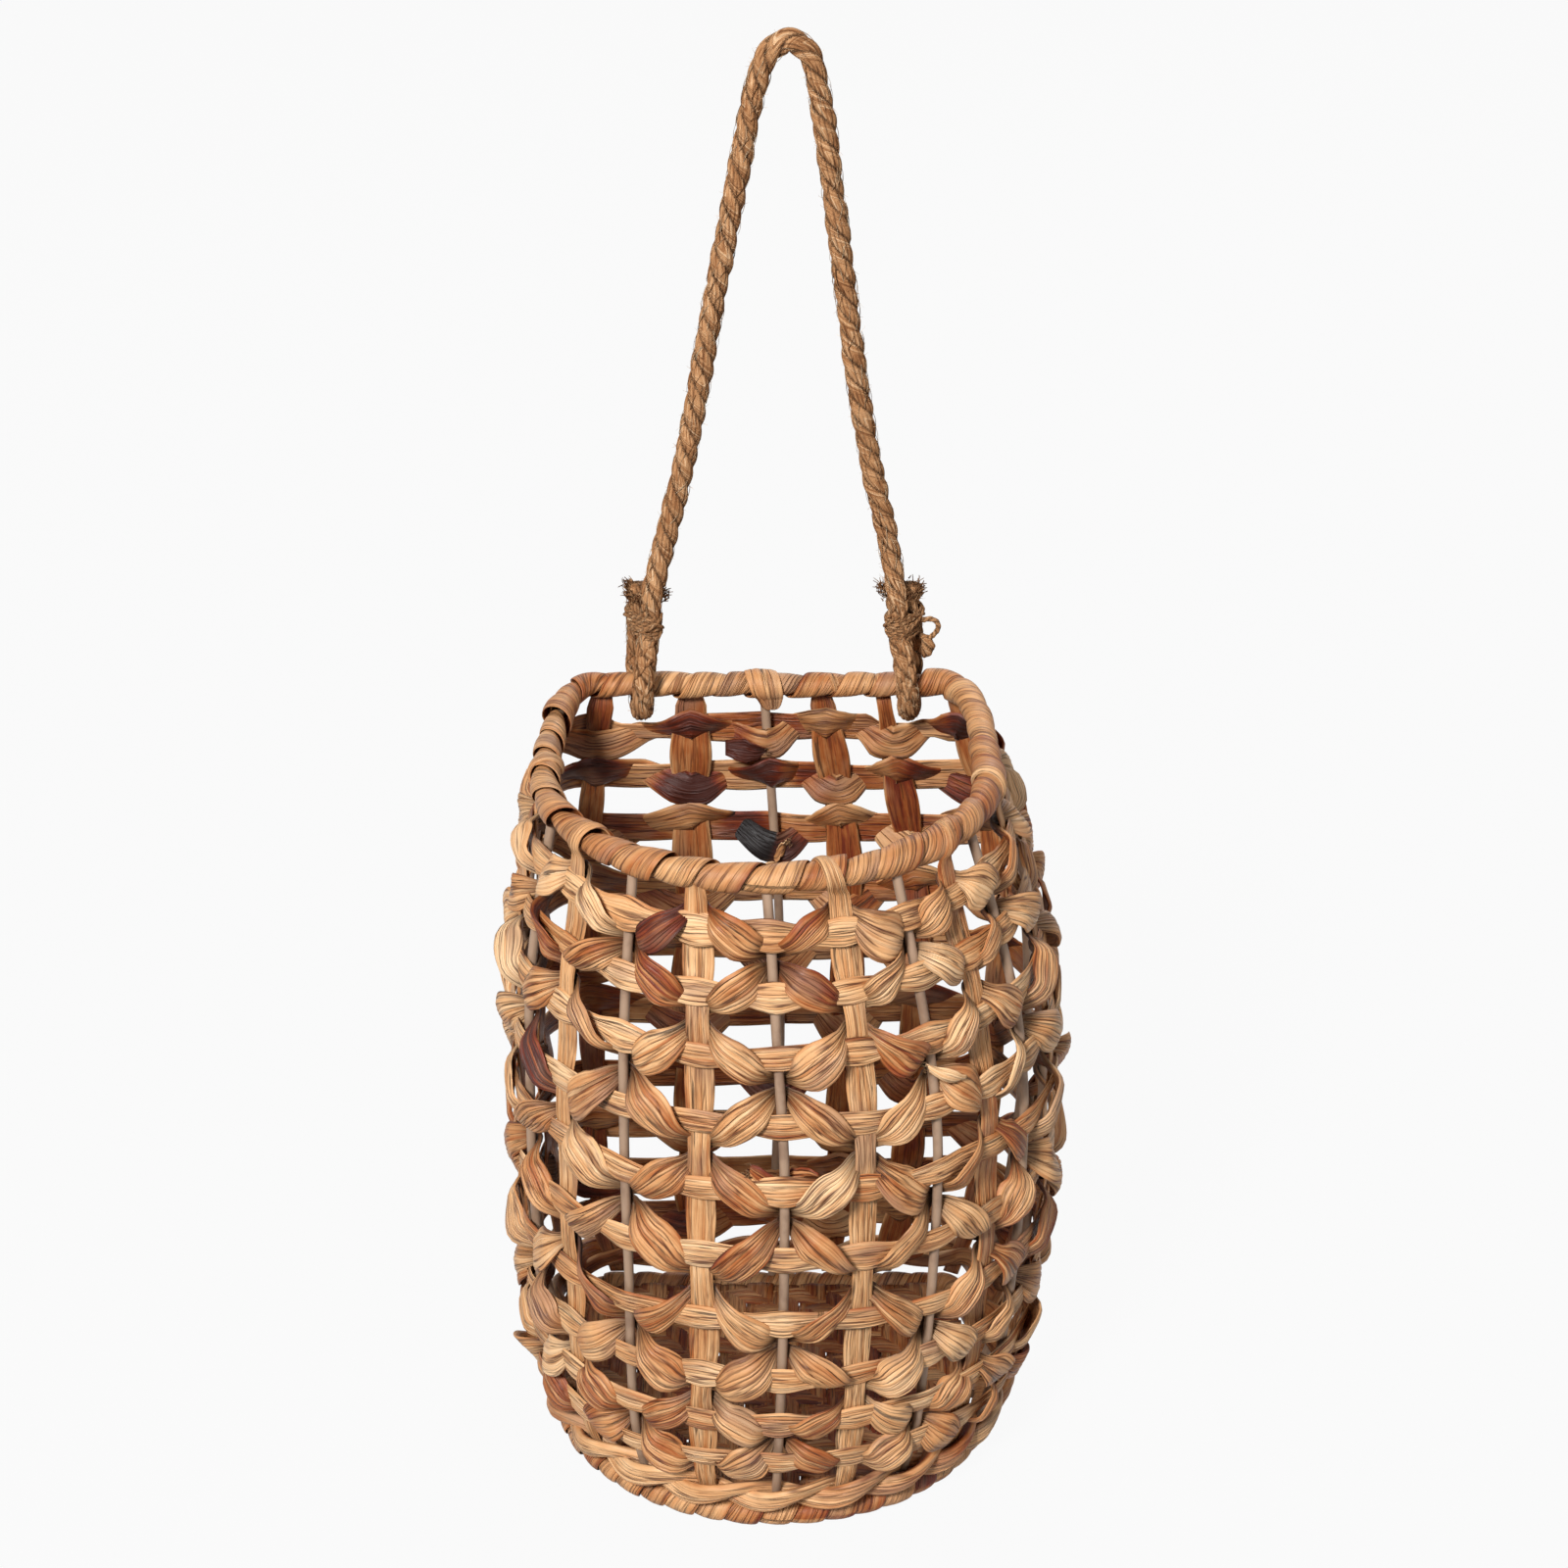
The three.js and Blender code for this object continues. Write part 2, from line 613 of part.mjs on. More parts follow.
add(handle, 'lashing_left', lashing('lashing_left', lashedPointCounts[0]), jute);
add(handle, 'lashing_right', lashing('lashing_right', lashedPointCounts[1]), jute);

const part = new Group();
part.add(basket, handle);
export default part;
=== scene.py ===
import math

import bpy
import numpy as np
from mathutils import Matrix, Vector


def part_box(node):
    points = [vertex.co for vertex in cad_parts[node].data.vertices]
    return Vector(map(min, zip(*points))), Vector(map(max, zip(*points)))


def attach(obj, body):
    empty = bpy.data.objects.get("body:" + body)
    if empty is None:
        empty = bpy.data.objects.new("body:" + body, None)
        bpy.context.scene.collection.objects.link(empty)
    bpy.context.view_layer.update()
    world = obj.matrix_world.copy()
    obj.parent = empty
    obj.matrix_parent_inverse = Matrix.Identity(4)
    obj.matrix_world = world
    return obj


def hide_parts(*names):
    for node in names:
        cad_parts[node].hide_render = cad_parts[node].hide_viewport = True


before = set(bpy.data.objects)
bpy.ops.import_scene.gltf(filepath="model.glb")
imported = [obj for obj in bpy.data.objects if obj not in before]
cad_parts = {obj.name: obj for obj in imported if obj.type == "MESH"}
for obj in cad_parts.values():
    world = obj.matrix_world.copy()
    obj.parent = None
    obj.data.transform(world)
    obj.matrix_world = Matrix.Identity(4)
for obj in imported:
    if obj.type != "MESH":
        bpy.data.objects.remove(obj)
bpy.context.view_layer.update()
mm = 0.001
fullTurn = 2 * math.pi
print("frame loaded:", len(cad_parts), "nodes")


def placed(name, data, at=(0, 0, 0)):
    thing = bpy.data.objects.new(name, data)
    thing.location = at
    bpy.context.scene.collection.objects.link(thing)
    return thing


def aimed(thing, target):
    thing.rotation_euler = (Vector(target) - thing.location).to_track_quat("-Z", "Y").to_euler()


# Camera, at the photograph's angle: 28 degrees down onto the basket's middle

cameraView = {
    "target": (0.0, 0.007, 0.345),
    "distance": 1.5,
    "elevation": 28.0,
    "focalPixels": 3400.0,
    "imagePixels": 1600.0,
    "sensor": 36.0,
}


def makeCamera(settings):
    data = bpy.data.cameras.new("camera")
    data.sensor_width = settings["sensor"]
    data.sensor_fit = "HORIZONTAL"
    data.lens = settings["focalPixels"] / settings["imagePixels"] * settings["sensor"]
    data.clip_start = 0.05
    tilt = math.radians(settings["elevation"])
    target = Vector(settings["target"])
    backwards = Vector((0, -math.cos(tilt), math.sin(tilt)))
    camera = placed("camera", data, target + settings["distance"] * backwards)
    aimed(camera, target)
    bpy.context.scene.camera = camera


makeCamera(cameraView)
bpy.context.scene.view_settings.view_transform = "Standard"
print("camera made")


# Shader sums: a socket that can be added, multiplied and so on

class Value:
    def __init__(self, finish, socket):
        self.finish = finish
        self.socket = socket

    def maths(self, operation, other=0.0, swapped=False):
        first, second = (other, self) if swapped else (self, other)
        return self.finish.node("ShaderNodeMath", {"operation": operation}, {0: first, 1: second})

    def __add__(self, other):
        return self.maths("ADD", other)

    def __radd__(self, other):
        return self.maths("ADD", other, True)

    def __sub__(self, other):
        return self.maths("SUBTRACT", other)

    def __rsub__(self, other):
        return self.maths("SUBTRACT", other, True)

    def __mul__(self, other):
        return self.maths("MULTIPLY", other)

    def __rmul__(self, other):
        return self.maths("MULTIPLY", other, True)

    def limited(self, low, high):
        return self.maths("MAXIMUM", low).maths("MINIMUM", high)

    def step(self, low, high):
        settings = {"interpolation_type": "SMOOTHSTEP"}
        return self.finish.node("ShaderNodeMapRange", settings, {0: self, 1: low, 2: high})


class Finish:
    def __init__(self, owner, shader="Principled BSDF"):
        owner.use_nodes = True
        self.material = owner
        self.tree = owner.node_tree
        self.shader = self.tree.nodes[shader]

    def node(self, kind, settings=None, inputs=None, output=0):
        made = self.tree.nodes.new(kind)
        for key, value in (settings or {}).items():
            if key == "stops":
                self.setStops(made.color_ramp, value)
            else:
                setattr(made, key, value)
        for key, value in (inputs or {}).items():
            self.join(made.inputs[key], value)
        return Value(self, made.outputs[output])

    def setStops(self, ramp, stops):
        while len(ramp.elements) < len(stops):
            ramp.elements.new(1.0)
        for element, (place, colour) in zip(ramp.elements, stops):
            element.position = place
            element.color = colour

    def join(self, socket, value):
        if isinstance(value, Value):
            self.tree.links.new(value.socket, socket)
        else:
            socket.default_value = value

    def seenRay(self):
        # 1 for what the camera sees, straight or in a mirror or through glass
        camera, glossy, through = (self.node("ShaderNodeLightPath", None, None, "Is " + kind + " Ray")
                                   for kind in ("Camera", "Glossy", "Transmission"))
        return camera.maths("MAXIMUM", glossy).maths("MAXIMUM", through)

    def mixed(self, share, first, second):
        return self.node("ShaderNodeMix", {"data_type": "RGBA"}, {0: share, 6: first, 7: second}, 2)

    def parts(self, vector):
        split = self.node("ShaderNodeSeparateXYZ", None, {0: vector})
        return [Value(self, socket) for socket in split.socket.node.outputs]

    def stored(self, name):
        return self.parts(self.node("ShaderNodeAttribute", {"attribute_name": name}, None, "Vector"))

    def noise(self, x, y, z, detail=3.0, roughness=0.55):
        spot = self.node("ShaderNodeCombineXYZ", None, {0: x, 1: y, 2: z})
        inputs = {"Vector": spot, "Scale": 1.0, "Detail": detail, "Roughness": roughness}
        return self.node("ShaderNodeTexNoise", None, inputs)

    def coloured(self, colour, roughness):
        self.join(self.shader.inputs["Base Color"], colour)
        self.join(self.shader.inputs["Roughness"], roughness)

    def raised(self, height, distance):
        bump = self.node("ShaderNodeBump", None, {"Height": height, "Distance": distance})
        self.join(self.shader.inputs["Normal"], bump)


def shade(red, green, blue):
    # a colour as it looks on the screen
    linear = (c / 12.92 if c <= 0.04045 else ((c + 0.055) / 1.055) ** 2.4 for c in (red, green, blue))
    return (*linear, 1.0)


leafLook = {
    # from fresh straw, through tan, to what dried red-brown
    "stops": [
        (0.0, shade(0.94, 0.78, 0.60)),
        (0.25, shade(0.88, 0.68, 0.48)),
        (0.46, shade(0.79, 0.56, 0.36)),
        (0.66, shade(0.64, 0.36, 0.17)),
        (0.83, shade(0.46, 0.165, 0.06)),
        (1.0, shade(0.25, 0.085, 0.04)),
    ],
    "grey": shade(0.61, 0.455, 0.36),
    # foldShade: painted shade for folds, cracks, the inner face and the petals' dives
    "foldShade": shade(0.13, 0.038, 0.015),
    "line": shade(0.31, 0.12, 0.05),
    # the painted shade in creases
    "shadedCrease": shade(0.30, 0.115, 0.045),
    "stain": shade(0.075, 0.045, 0.04),
    # noises over the leaf: scale across it, along it and from leaf to leaf, detail, roughness
    "fibre": (700.0, 24.0, 17.0, 3.0, 0.6),
    "fine": (2600.0, 60.0, 31.0, 3.0, 0.7),
    "wrinkle": (400.0, 17.0, 23.0, 2.0, 0.5),
    "blotch": (110.0, 50.0, 7.0, 3.0, 0.55),
    "mould": (70.0, 24.0, 5.0, 2.0, 0.55),
    "creaseWidth": 0.055,
    "blotches": 0.6,
    "fineStreaks": 0.42,
    # from where to where in a noise a mark comes in, and how strong it gets
    "greyFrom": (0.52, 0.7),
    "greyShare": 0.6,
    "lineShare": 0.8,
    "crackBelow": 0.37,
    "crackEdge": 0.06,
    "crackShare": 0.75,
    "foldShare": 0.95,
    "stainFrom": (0.35, 0.75),
    "roughness": 0.5,
    "specular": 0.35,
    "bump": 0.0006,
}


def leafFinish(name, look, toneShift, streaks, creases):
    finish = Finish(bpy.data.materials.new(name))
    across, along, seed = finish.stored("leafCoord")
    tone, foldShade, stain = finish.stored("leafTone")

    def grain(kind, moved=None):
        wide, long, own, detail, roughness = look[kind]
        place = seed * own if moved is None else seed * own + moved
        return finish.noise(across * wide, along * long, place, detail, roughness)

    fibre, fine, wrinkle, blotch = (grain(kind) for kind in ("fibre", "fine", "wrinkle", "blotch"))
    mould = grain("mould", 40.0)
    # crease lines along the wrinkles, pressed in by the bump and darkened with painted shade
    shadedCrease = (look["creaseWidth"] - (wrinkle - 0.5).maths("ABSOLUTE")).step(0.0, look["creaseWidth"])
    shadedCrease = shadedCrease * (0.35 + fibre.step(0.4, 0.62) * 0.65)
    level = tone + toneShift + (blotch - 0.5) * look["blotches"] + (fibre - 0.5) * streaks
    level = level + (fine - 0.5) * look["fineStreaks"]
    colour = finish.node("ShaderNodeValToRGB", {"stops": look["stops"]}, {0: level})
    colour = finish.mixed(mould.step(*look["greyFrom"]) * look["greyShare"], colour, look["grey"])
    lines = (0.46 - fine).step(0.0, 0.16) * (0.62 - fibre).step(0.0, 0.3) * look["lineShare"]
    colour = finish.mixed(lines, colour, look["line"])
    # cracks along the fibres, pressed in by the bump and darkened with painted shade
    cracks = (look["crackBelow"] - fibre).step(0.0, look["crackEdge"]) * look["crackShare"]
    colour = finish.mixed(cracks, colour, look["foldShade"])
    colour = finish.mixed(shadedCrease * creases, colour, look["shadedCrease"])
    # painted shade from the mesh: folds, inner face and shadowed dives
    colour = finish.mixed((foldShade * look["foldShare"]).limited(0.0, 0.92), colour, look["foldShade"])
    # stain: stretches that dried black, and on the base mat painted shade
    colour = finish.mixed(stain.step(*look["stainFrom"]), colour, look["stain"])
    finish.coloured(colour, look["roughness"] + (fibre - 0.5) * 0.3)
    finish.shader.inputs["Specular IOR Level"].default_value = look["specular"]
    finish.raised(fibre * 0.6 + fine * 0.5 + wrinkle * 1.2 - cracks - shadedCrease * creases, look["bump"])
    return finish.material


wireLook = {
    "paint": shade(0.63, 0.52, 0.43),
    "worn": shade(0.44, 0.33, 0.26),
    "wornShare": 0.6,
    "roughness": 0.45,
    "bump": 0.00012,
}


def wireFinish(name, look):
    finish = Finish(bpy.data.materials.new(name))
    x, y, z = finish.parts(finish.node("ShaderNodeTexCoord", None, None, "Object"))
    patch = finish.noise(x * 90.0, y * 90.0, z * 60.0, 4.0)
    grain = finish.noise(x * 900.0, y * 900.0, z * 300.0, 2.0)
    colour = finish.mixed(patch.step(0.45, 0.7) * look["wornShare"], look["paint"], look["worn"])
    finish.coloured(colour, look["roughness"] + (grain - 0.5) * 0.3)
    finish.raised(grain * 0.6 + patch * 0.4, look["bump"])
    return finish.material


juteLook = {
    "stops": [
        (0.0, shade(0.30, 0.16, 0.085)),
        (0.35, shade(0.58, 0.39, 0.245)),
        (0.6, shade(0.75, 0.56, 0.39)),
        (1.0, shade(0.97, 0.86, 0.71)),
    ],
    # gap: the painted shade in the grooves between strands and yarns
    "gap": shade(0.19, 0.08, 0.045),
    "yarns": 2.6,
    "yarnLay": 330.0,
    "roughness": 0.9,
    "specular": 0.15,
    "bump": 0.0009,
}


def juteFinish(name, look):
    finish = Finish(bpy.data.materials.new(name))
    across, along, seed = finish.stored("leafCoord")
    tone, gap = finish.stored("leafTone")[:2]
    slant = across * look["yarns"] + along * look["yarnLay"]
    fibre = finish.noise(slant * 2.2, along * 60.0, seed * 9.0, 4.0, 0.65)
    yarn = finish.noise(slant * 0.9, along * 18.0, seed * 5.0, 1.0)
    patch = finish.noise(along * 26.0, seed * 3.0, tone, 2.0)
    level = 0.5 + (fibre - 0.5) * 1.6 + (yarn - 0.5) * 0.6 + (patch - 0.5) * 0.4 + tone * 0.1
    colour = finish.node("ShaderNodeValToRGB", {"stops": look["stops"]}, {0: level})
    # painted shade in the rope's grooves
    colour = finish.mixed((gap * 0.85).limited(0.0, 0.9), colour, look["gap"])
    finish.coloured(colour, look["roughness"])
    finish.shader.inputs["Specular IOR Level"].default_value = look["specular"]
    finish.raised(fibre * 0.9 + yarn * 0.8, look["bump"])
    return finish.material


finishes = {
    "leaf_weave": leafFinish("leafWeave", leafLook, toneShift=0.0, streaks=0.5, creases=0.9),
    "leaf_stake": leafFinish("leafStake", leafLook, toneShift=0.04, streaks=0.55, creases=0.6),
    "leaf_binding": leafFinish("leafBinding", leafLook, toneShift=0.03, streaks=0.32, creases=0.8),
    "wire_paint": wireFinish("wirePaint", wireLook),
    "jute": juteFinish("juteFibre", juteLook),
}
print("finishes made")

# The wall that every woven piece follows: the rim's outline, spread to the wall's width at each height

wall = {
    "height": 345 * mm,
    "lift": 5.1 * mm,
    "rimHalfWidth": 99.5 * mm,
    "rimFrontReach": 94 * mm,
    "rimBackReach": 91 * mm,
    "backHalfStraight": 80 * mm,
    "cornerPull": 16 * mm,
    "sideStraightShare": 0.62,
    "sideBulgeShares": [1, 1.11, 1.2, 1.24, 1.25, 1.24, 1.215, 1.17, 1.04],
    "frontBulgeShares": [1, 1.09, 1.15, 1.18, 1.18, 1.165, 1.14, 1.1, 1],
    "backBulgeShares": [1, 1.03, 1.05, 1.06, 1.06, 1.05, 1.04, 1.01, 0.95],
    "leanShares": [-0.077, -0.047, -0.02, -0.002, 0.001, -0.002, -0.014, -0.027, -0.042],
    "widestLineY": 6.5 * mm,
    "uprightShares": [
        0, 0.044, 0.087, 0.124, 0.16, 0.21, 0.26, 0.297, 0.3335, 0.37, 0.42,
        0.462, 0.503, 0.555, 0.618, 0.672, 0.723, 0.77, 0.8185, 0.864, 0.909, 0.955,
    ],
    "plainStakes": (10, 14),
    "levelShares": [
        0.034, 0.07, 0.111, 0.149, 0.187, 0.234, 0.282, 0.333, 0.382, 0.43, 0.482,
        0.537, 0.588, 0.641, 0.69, 0.735, 0.774, 0.812, 0.849, 0.884, 0.916,
    ],
    "rows": 5,
}
uprights = len(wall["uprightShares"])
wallHeight = wall["height"]
topHeight = wall["height"] + wall["lift"]
levelDrops = [share * wallHeight for share in wall["levelShares"]]
upward = np.array([0, 0, 1.0])


def unit(vectors):
    return vectors / np.maximum(np.linalg.norm(vectors, axis=-1, keepdims=True), 1e-12)


def flattened(vectors):
    return unit(vectors * (1, 1, 0))


def ease(t):
    t = np.clip(t, 0, 1)
    return t * t * (3 - 2 * t)


def runAlong(points):
    # how far along a path each of its points lies
    return np.r_[0, np.cumsum(np.linalg.norm(np.diff(points, axis=0), axis=1))]


def eachWay(at, knots, points):
    return np.column_stack([np.interp(at, knots, points[:, k]) for k in range(3)])


def curve(start, end, rise, fall, t):
    # a smooth way from one value to the next, with the slopes at its two ends
    apart = end - start
    return start + t * (rise + t * (3 * apart - 2 * rise - fall + t * (rise + fall - 2 * apart)))


def smoothValue(values, share):
    values = np.asarray(values, float)
    last = len(values) - 1
    at = np.clip(share, 0, 1) * last
    i = np.minimum(at.astype(int), last - 1)
    padded = np.r_[2 * values[0] - values[1], values, 2 * values[-1] - values[-2]]
    a, b, c, d = (padded[i + k] for k in range(4))
    return curve(b, c, (c - a) / 2, (d - b) / 2, at - i)


def wander(rng, count, knots, amount, closed=False):
    # a smooth random curve
    values = rng.uniform(-amount, amount, knots)
    if closed:
        values = np.r_[values, values[0]]
    return smoothValue(values, np.linspace(0, 1, count, endpoint=not closed))


def bezier(a, b, c, d, steps=60):
    t = np.linspace(0, 1, steps, endpoint=False)[:, None]
    a, b, c, d = (np.array(p, float) for p in (a, b, c, d))
    return (1 - t) ** 3 * a + 3 * t * (1 - t) ** 2 * b + 3 * t * t * (1 - t) * c + t ** 3 * d


def rimOutline():
    half, back, straight = wall["rimHalfWidth"], wall["rimBackReach"], wall["backHalfStraight"]
    side = back * wall["sideStraightShare"]
    corner = straight + wall["cornerPull"]
    turn = np.linspace(-math.pi / 2, 0, 80, endpoint=False)
    front = np.column_stack([half * np.cos(turn), wall["rimFrontReach"] * np.sin(turn)])
    rightBack = bezier((half, 0), (half, side), (corner, back), (straight, back))
    acrossBack = np.column_stack([np.linspace(straight, -straight, 60, endpoint=False), np.full(60, back)])
    leftBack = bezier((-straight, back), (-corner, back), (-half, side), (-half, 0))
    left = np.vstack([front[:1], front[::-1] * (-1, 1)])[1:]
    return np.vstack([front, rightBack, acrossBack, leftBack, [(-half, 0)], left])


outlinePoints = rimOutline()
outlineLength = runAlong(outlinePoints)[-1]
outlineShares = runAlong(outlinePoints) / outlineLength
shareKnots = np.r_[wall["uprightShares"], 1.0]


def wallPoint(place, drop):
    # a place is counted in uprights from the front centre, a drop is measured from the rim down
    place, drop = np.broadcast_arrays(np.asarray(place, float), np.asarray(drop, float))
    share = np.interp(place % uprights, np.arange(uprights + 1), shareKnots)
    x, y = (np.interp(share, outlineShares, outlinePoints[:, k]) for k in range(2))
    down = drop / wallHeight
    side, front, back, lean = (smoothValue(wall[part + "Shares"], down)
                               for part in ("sideBulge", "frontBulge", "backBulge", "lean"))
    reach = np.where(y < 0, front, back)
    x = x * side + wall["rimHalfWidth"] * lean
    return np.stack([x, y * reach + wall["widestLineY"], topHeight - drop], -1)


def wallFrame(place, drop):
    drop = np.broadcast_to(np.asarray(drop, float), np.shape(place))
    along = unit(wallPoint(np.asarray(place) + 0.12, drop) - wallPoint(np.asarray(place) - 0.12, drop))
    low = np.clip(drop, 2 * mm, wallHeight - 2 * mm)
    down = unit(wallPoint(place, low + 2 * mm) - wallPoint(place, low - 2 * mm))
    return wallPoint(place, drop), along, down, unit(np.cross(down, along))


def isWire(place):
    place = int(place) % uprights
    return place % 2 == 0 and place not in wall["plainStakes"]


def spanLength(place):
    return (shareKnots[place + 1] - shareKnots[place]) * outlineLength


# Mesh making

def skin(rings, closed):
    # faces over rows of points, with a cap at each free end
    rows, corners = rings.shape[:2]
    spans = rows if closed else rows - 1
    i = np.arange(spans)[:, None]
    j = np.arange(corners)[None]
    near, far = i * corners, (i + 1) % rows * corners
    k = (j + 1) % corners
    faces = np.stack([near + j, near + k, far + k, far + j], -1).reshape(-1, 4).tolist()
    if not closed:
        faces.append(list(range(corners - 1, -1, -1)))
        faces.append(list(range((rows - 1) * corners, rows * corners)))
    return faces


class Bundle:
    # gathers strips into one mesh, with their tone, painted shade and stain
    def __init__(self):
        self.verts, self.faces, self.coords, self.tones = [], [], [], []
        self.count = 0

    def add(self, rings, coords, tones, closed=False):
        self.faces += [[v + self.count for v in face] for face in skin(rings, closed)]
        self.verts.append(rings.reshape(-1, 3))
        self.coords.append(coords.reshape(-1, 3))
        self.tones.append(tones.reshape(-1, 3))
        self.count += rings.shape[0] * rings.shape[1]

    def piece(self, name, slot, nodes=(), body="basket"):
        mesh = bpy.data.meshes.new(name)
        mesh.from_pydata(np.vstack(self.verts).tolist(), [], self.faces)
        for title, values in (("leafCoord", self.coords), ("leafTone", self.tones)):
            attribute = mesh.attributes.new(title, "FLOAT_VECTOR", "POINT")
            attribute.data.foreach_set("vector", np.vstack(values).astype(np.float32).ravel())
        mesh.polygons.foreach_set("use_smooth", [True] * len(mesh.polygons))
        mesh.materials.append(finishes[slot])
        mesh.update()
        made = placed(name, mesh)
        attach(made, body)
        if nodes:
            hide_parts(*nodes)
        return made


leafShape = {
    "ridgePoints": {0.1: 0.55, 0.5: 1.0, 0.9: 0.55},  # places across a ridge, and how high it stands there
    "ridgeShares": (0.6, 1.5),
    "shareWander": 0.4,
    "deepFolds": (0.8, 1.3),
    "flatFolds": (0.15, 0.5),
    "foldLeast": 0.8,
    "foldWander": 0.55,
    "foldRange": (0.04, 1.5),
    "knotEvery": 14 * mm,
    "fullThick": 1.2 * mm,
    "edgeFade": 5,
    "edgeRound": 0.7,
    "innerPoints": 9,
    # the inner face gets painted shade: a darker, redder tone and a share of the fold shade
    "innerShadeTone": 0.24,
    "innerShade": 0.2,
}


def leafStrip(bundle, rng, centre, across, out, width, thick, tone, stain=0.0, folds=4, foldDepth=0.5 * mm,
              ridge=0.2 * mm, crown=0.5 * mm, curl=0.0, hem=0.0, deep=0.4, streak=0.15, shadow=0.0,
              closed=False):
    # a dried leaf folded into ridges that run along it, between sharp folds, with painted shade in the
    # folds, on its inner face and at its edges
    look = leafShape
    count = len(centre)
    halfWidth, thick, tone, stain, crown, curl, hem, shadow = (
        np.broadcast_to(np.asarray(x, float), (count,))[:, None]
        for x in (width / 2, thick, tone, stain, crown, curl, hem, shadow))
    steps = runAlong(centre)
    knots = max(4, int(steps[-1] / look["knotEvery"]))
    shares = np.array([
        rng.uniform(*look["ridgeShares"]) * (1 + wander(rng, count, knots, look["shareWander"], closed))
        for k in range(folds + 1)
    ])
    shares = np.cumsum(shares / shares.sum(0), 0)
    foldAt = np.vstack([np.full(count, -1.0), 2 * shares[:-1] - 1, np.full(count, 1.0)])
    sharp = rng.random(folds) < deep
    sizes = np.where(sharp, rng.uniform(*look["deepFolds"], folds), rng.uniform(*look["flatFolds"], folds))
    least, swing = look["foldLeast"], look["foldWander"]
    depth = [size * (least + wander(rng, count, knots, swing, closed)) for size in sizes]
    depth = np.vstack([np.zeros(count), np.clip(depth, *look["foldRange"]), np.zeros(count)])
    strand = rng.uniform(-streak, streak, folds + 1)
    full = np.ones(count)
    columns = []  # for each line along the strip: place across it, lift, darkness and tone
    for k in range(folds + 1):
        apart = foldAt[k + 1] - foldAt[k]
        blend = (strand[k] + strand[max(k - 1, 0)]) / 2
        # each fold gets painted shade by its depth
        columns.append((foldAt[k], -depth[k] * foldDepth, depth[k], blend * full))
        for s, rise in look["ridgePoints"].items():
            lift = rise * ridge * apart * (folds + 1) / 2
            columns.append((foldAt[k] + s * apart, lift, 0 * full, strand[k] * full))
    columns.append((foldAt[-1], 0 * full, 0 * full, strand[-1] * full))
    inner = look["innerPoints"]
    for k in range(1, inner + 1):
        spot = 1 - 2 * k / (inner + 1)
        # points on the inner face, with painted shade
        columns.append([value * full for value in (spot, 0, look["innerShade"], look["innerShadeTone"])])
    u, lift, dark, strandTone = np.array(columns).transpose(1, 2, 0)
    side = np.r_[np.ones(len(columns) - inner), -np.ones(inner)]
    within = np.clip((1 - np.abs(u)) * look["edgeFade"], 0, 1)
    height = crown * (1 - u * u) - curl * np.abs(u) ** 3 + hem * np.clip(u, 0, 1) ** 3
    height = height + side * thick / 2 * np.sqrt(np.clip(1 - u * u, 0, 1)) ** look["edgeRound"]
    height = height + lift * within * np.clip(thick / look["fullThick"], 0.3, 1)
    sideways = u * halfWidth
    rings = centre[:, None] + across[:, None] * sideways[..., None] + out[:, None] * height[..., None]
    run = np.broadcast_to(steps[:, None], u.shape)
    coords = np.stack([u * halfWidth.mean(), run, np.full(u.shape, rng.uniform(0, 50))], -1)
    # painted shade along the edges, where the leaf curls under
    edgeShade = within * np.clip((np.abs(u) - 0.9) * 10, 0, 1)
    stain = np.broadcast_to(stain, u.shape)
    # the second channel is painted shade: in the folds, on the inner face and where a petal dives out of the
    # light
    tones = np.stack([tone + strandTone + edgeShade, np.maximum(dark, shadow), stain], -1)
    bundle.add(rings, coords, tones, closed)


def outAt(angle, side, up):
    # the direction at an angle round a path
    return side * np.cos(angle)[:, None] + up * np.sin(angle)[:, None]


def rolled(across, out, angle):
    angle = np.broadcast_to(np.asarray(angle, float), (len(across),))
    return outAt(angle, across, out), outAt(angle, out, -across)


def loopAlong(points):
    return unit(np.roll(points, -1, 0) - np.roll(points, 1, 0))


def rolledLoop(centre, out, angle):
    # directions across a strip that runs along a closed path, and up from it
    along = loopAlong(centre)
    across = unit(np.cross(out, along))
    return rolled(across, unit(np.cross(along, across)), angle)


def hoops(points, size, side, up, corners):
    # rows of points round a path
    turn = fullTurn * np.arange(corners) / corners
    spokes = side[:, None] * np.cos(turn)[:, None] + up[:, None] * np.sin(turn)[:, None]
    return points[:, None] + np.asarray(size)[..., None] * spokes


# Rope: three strands laid together, on the route that the solid holds

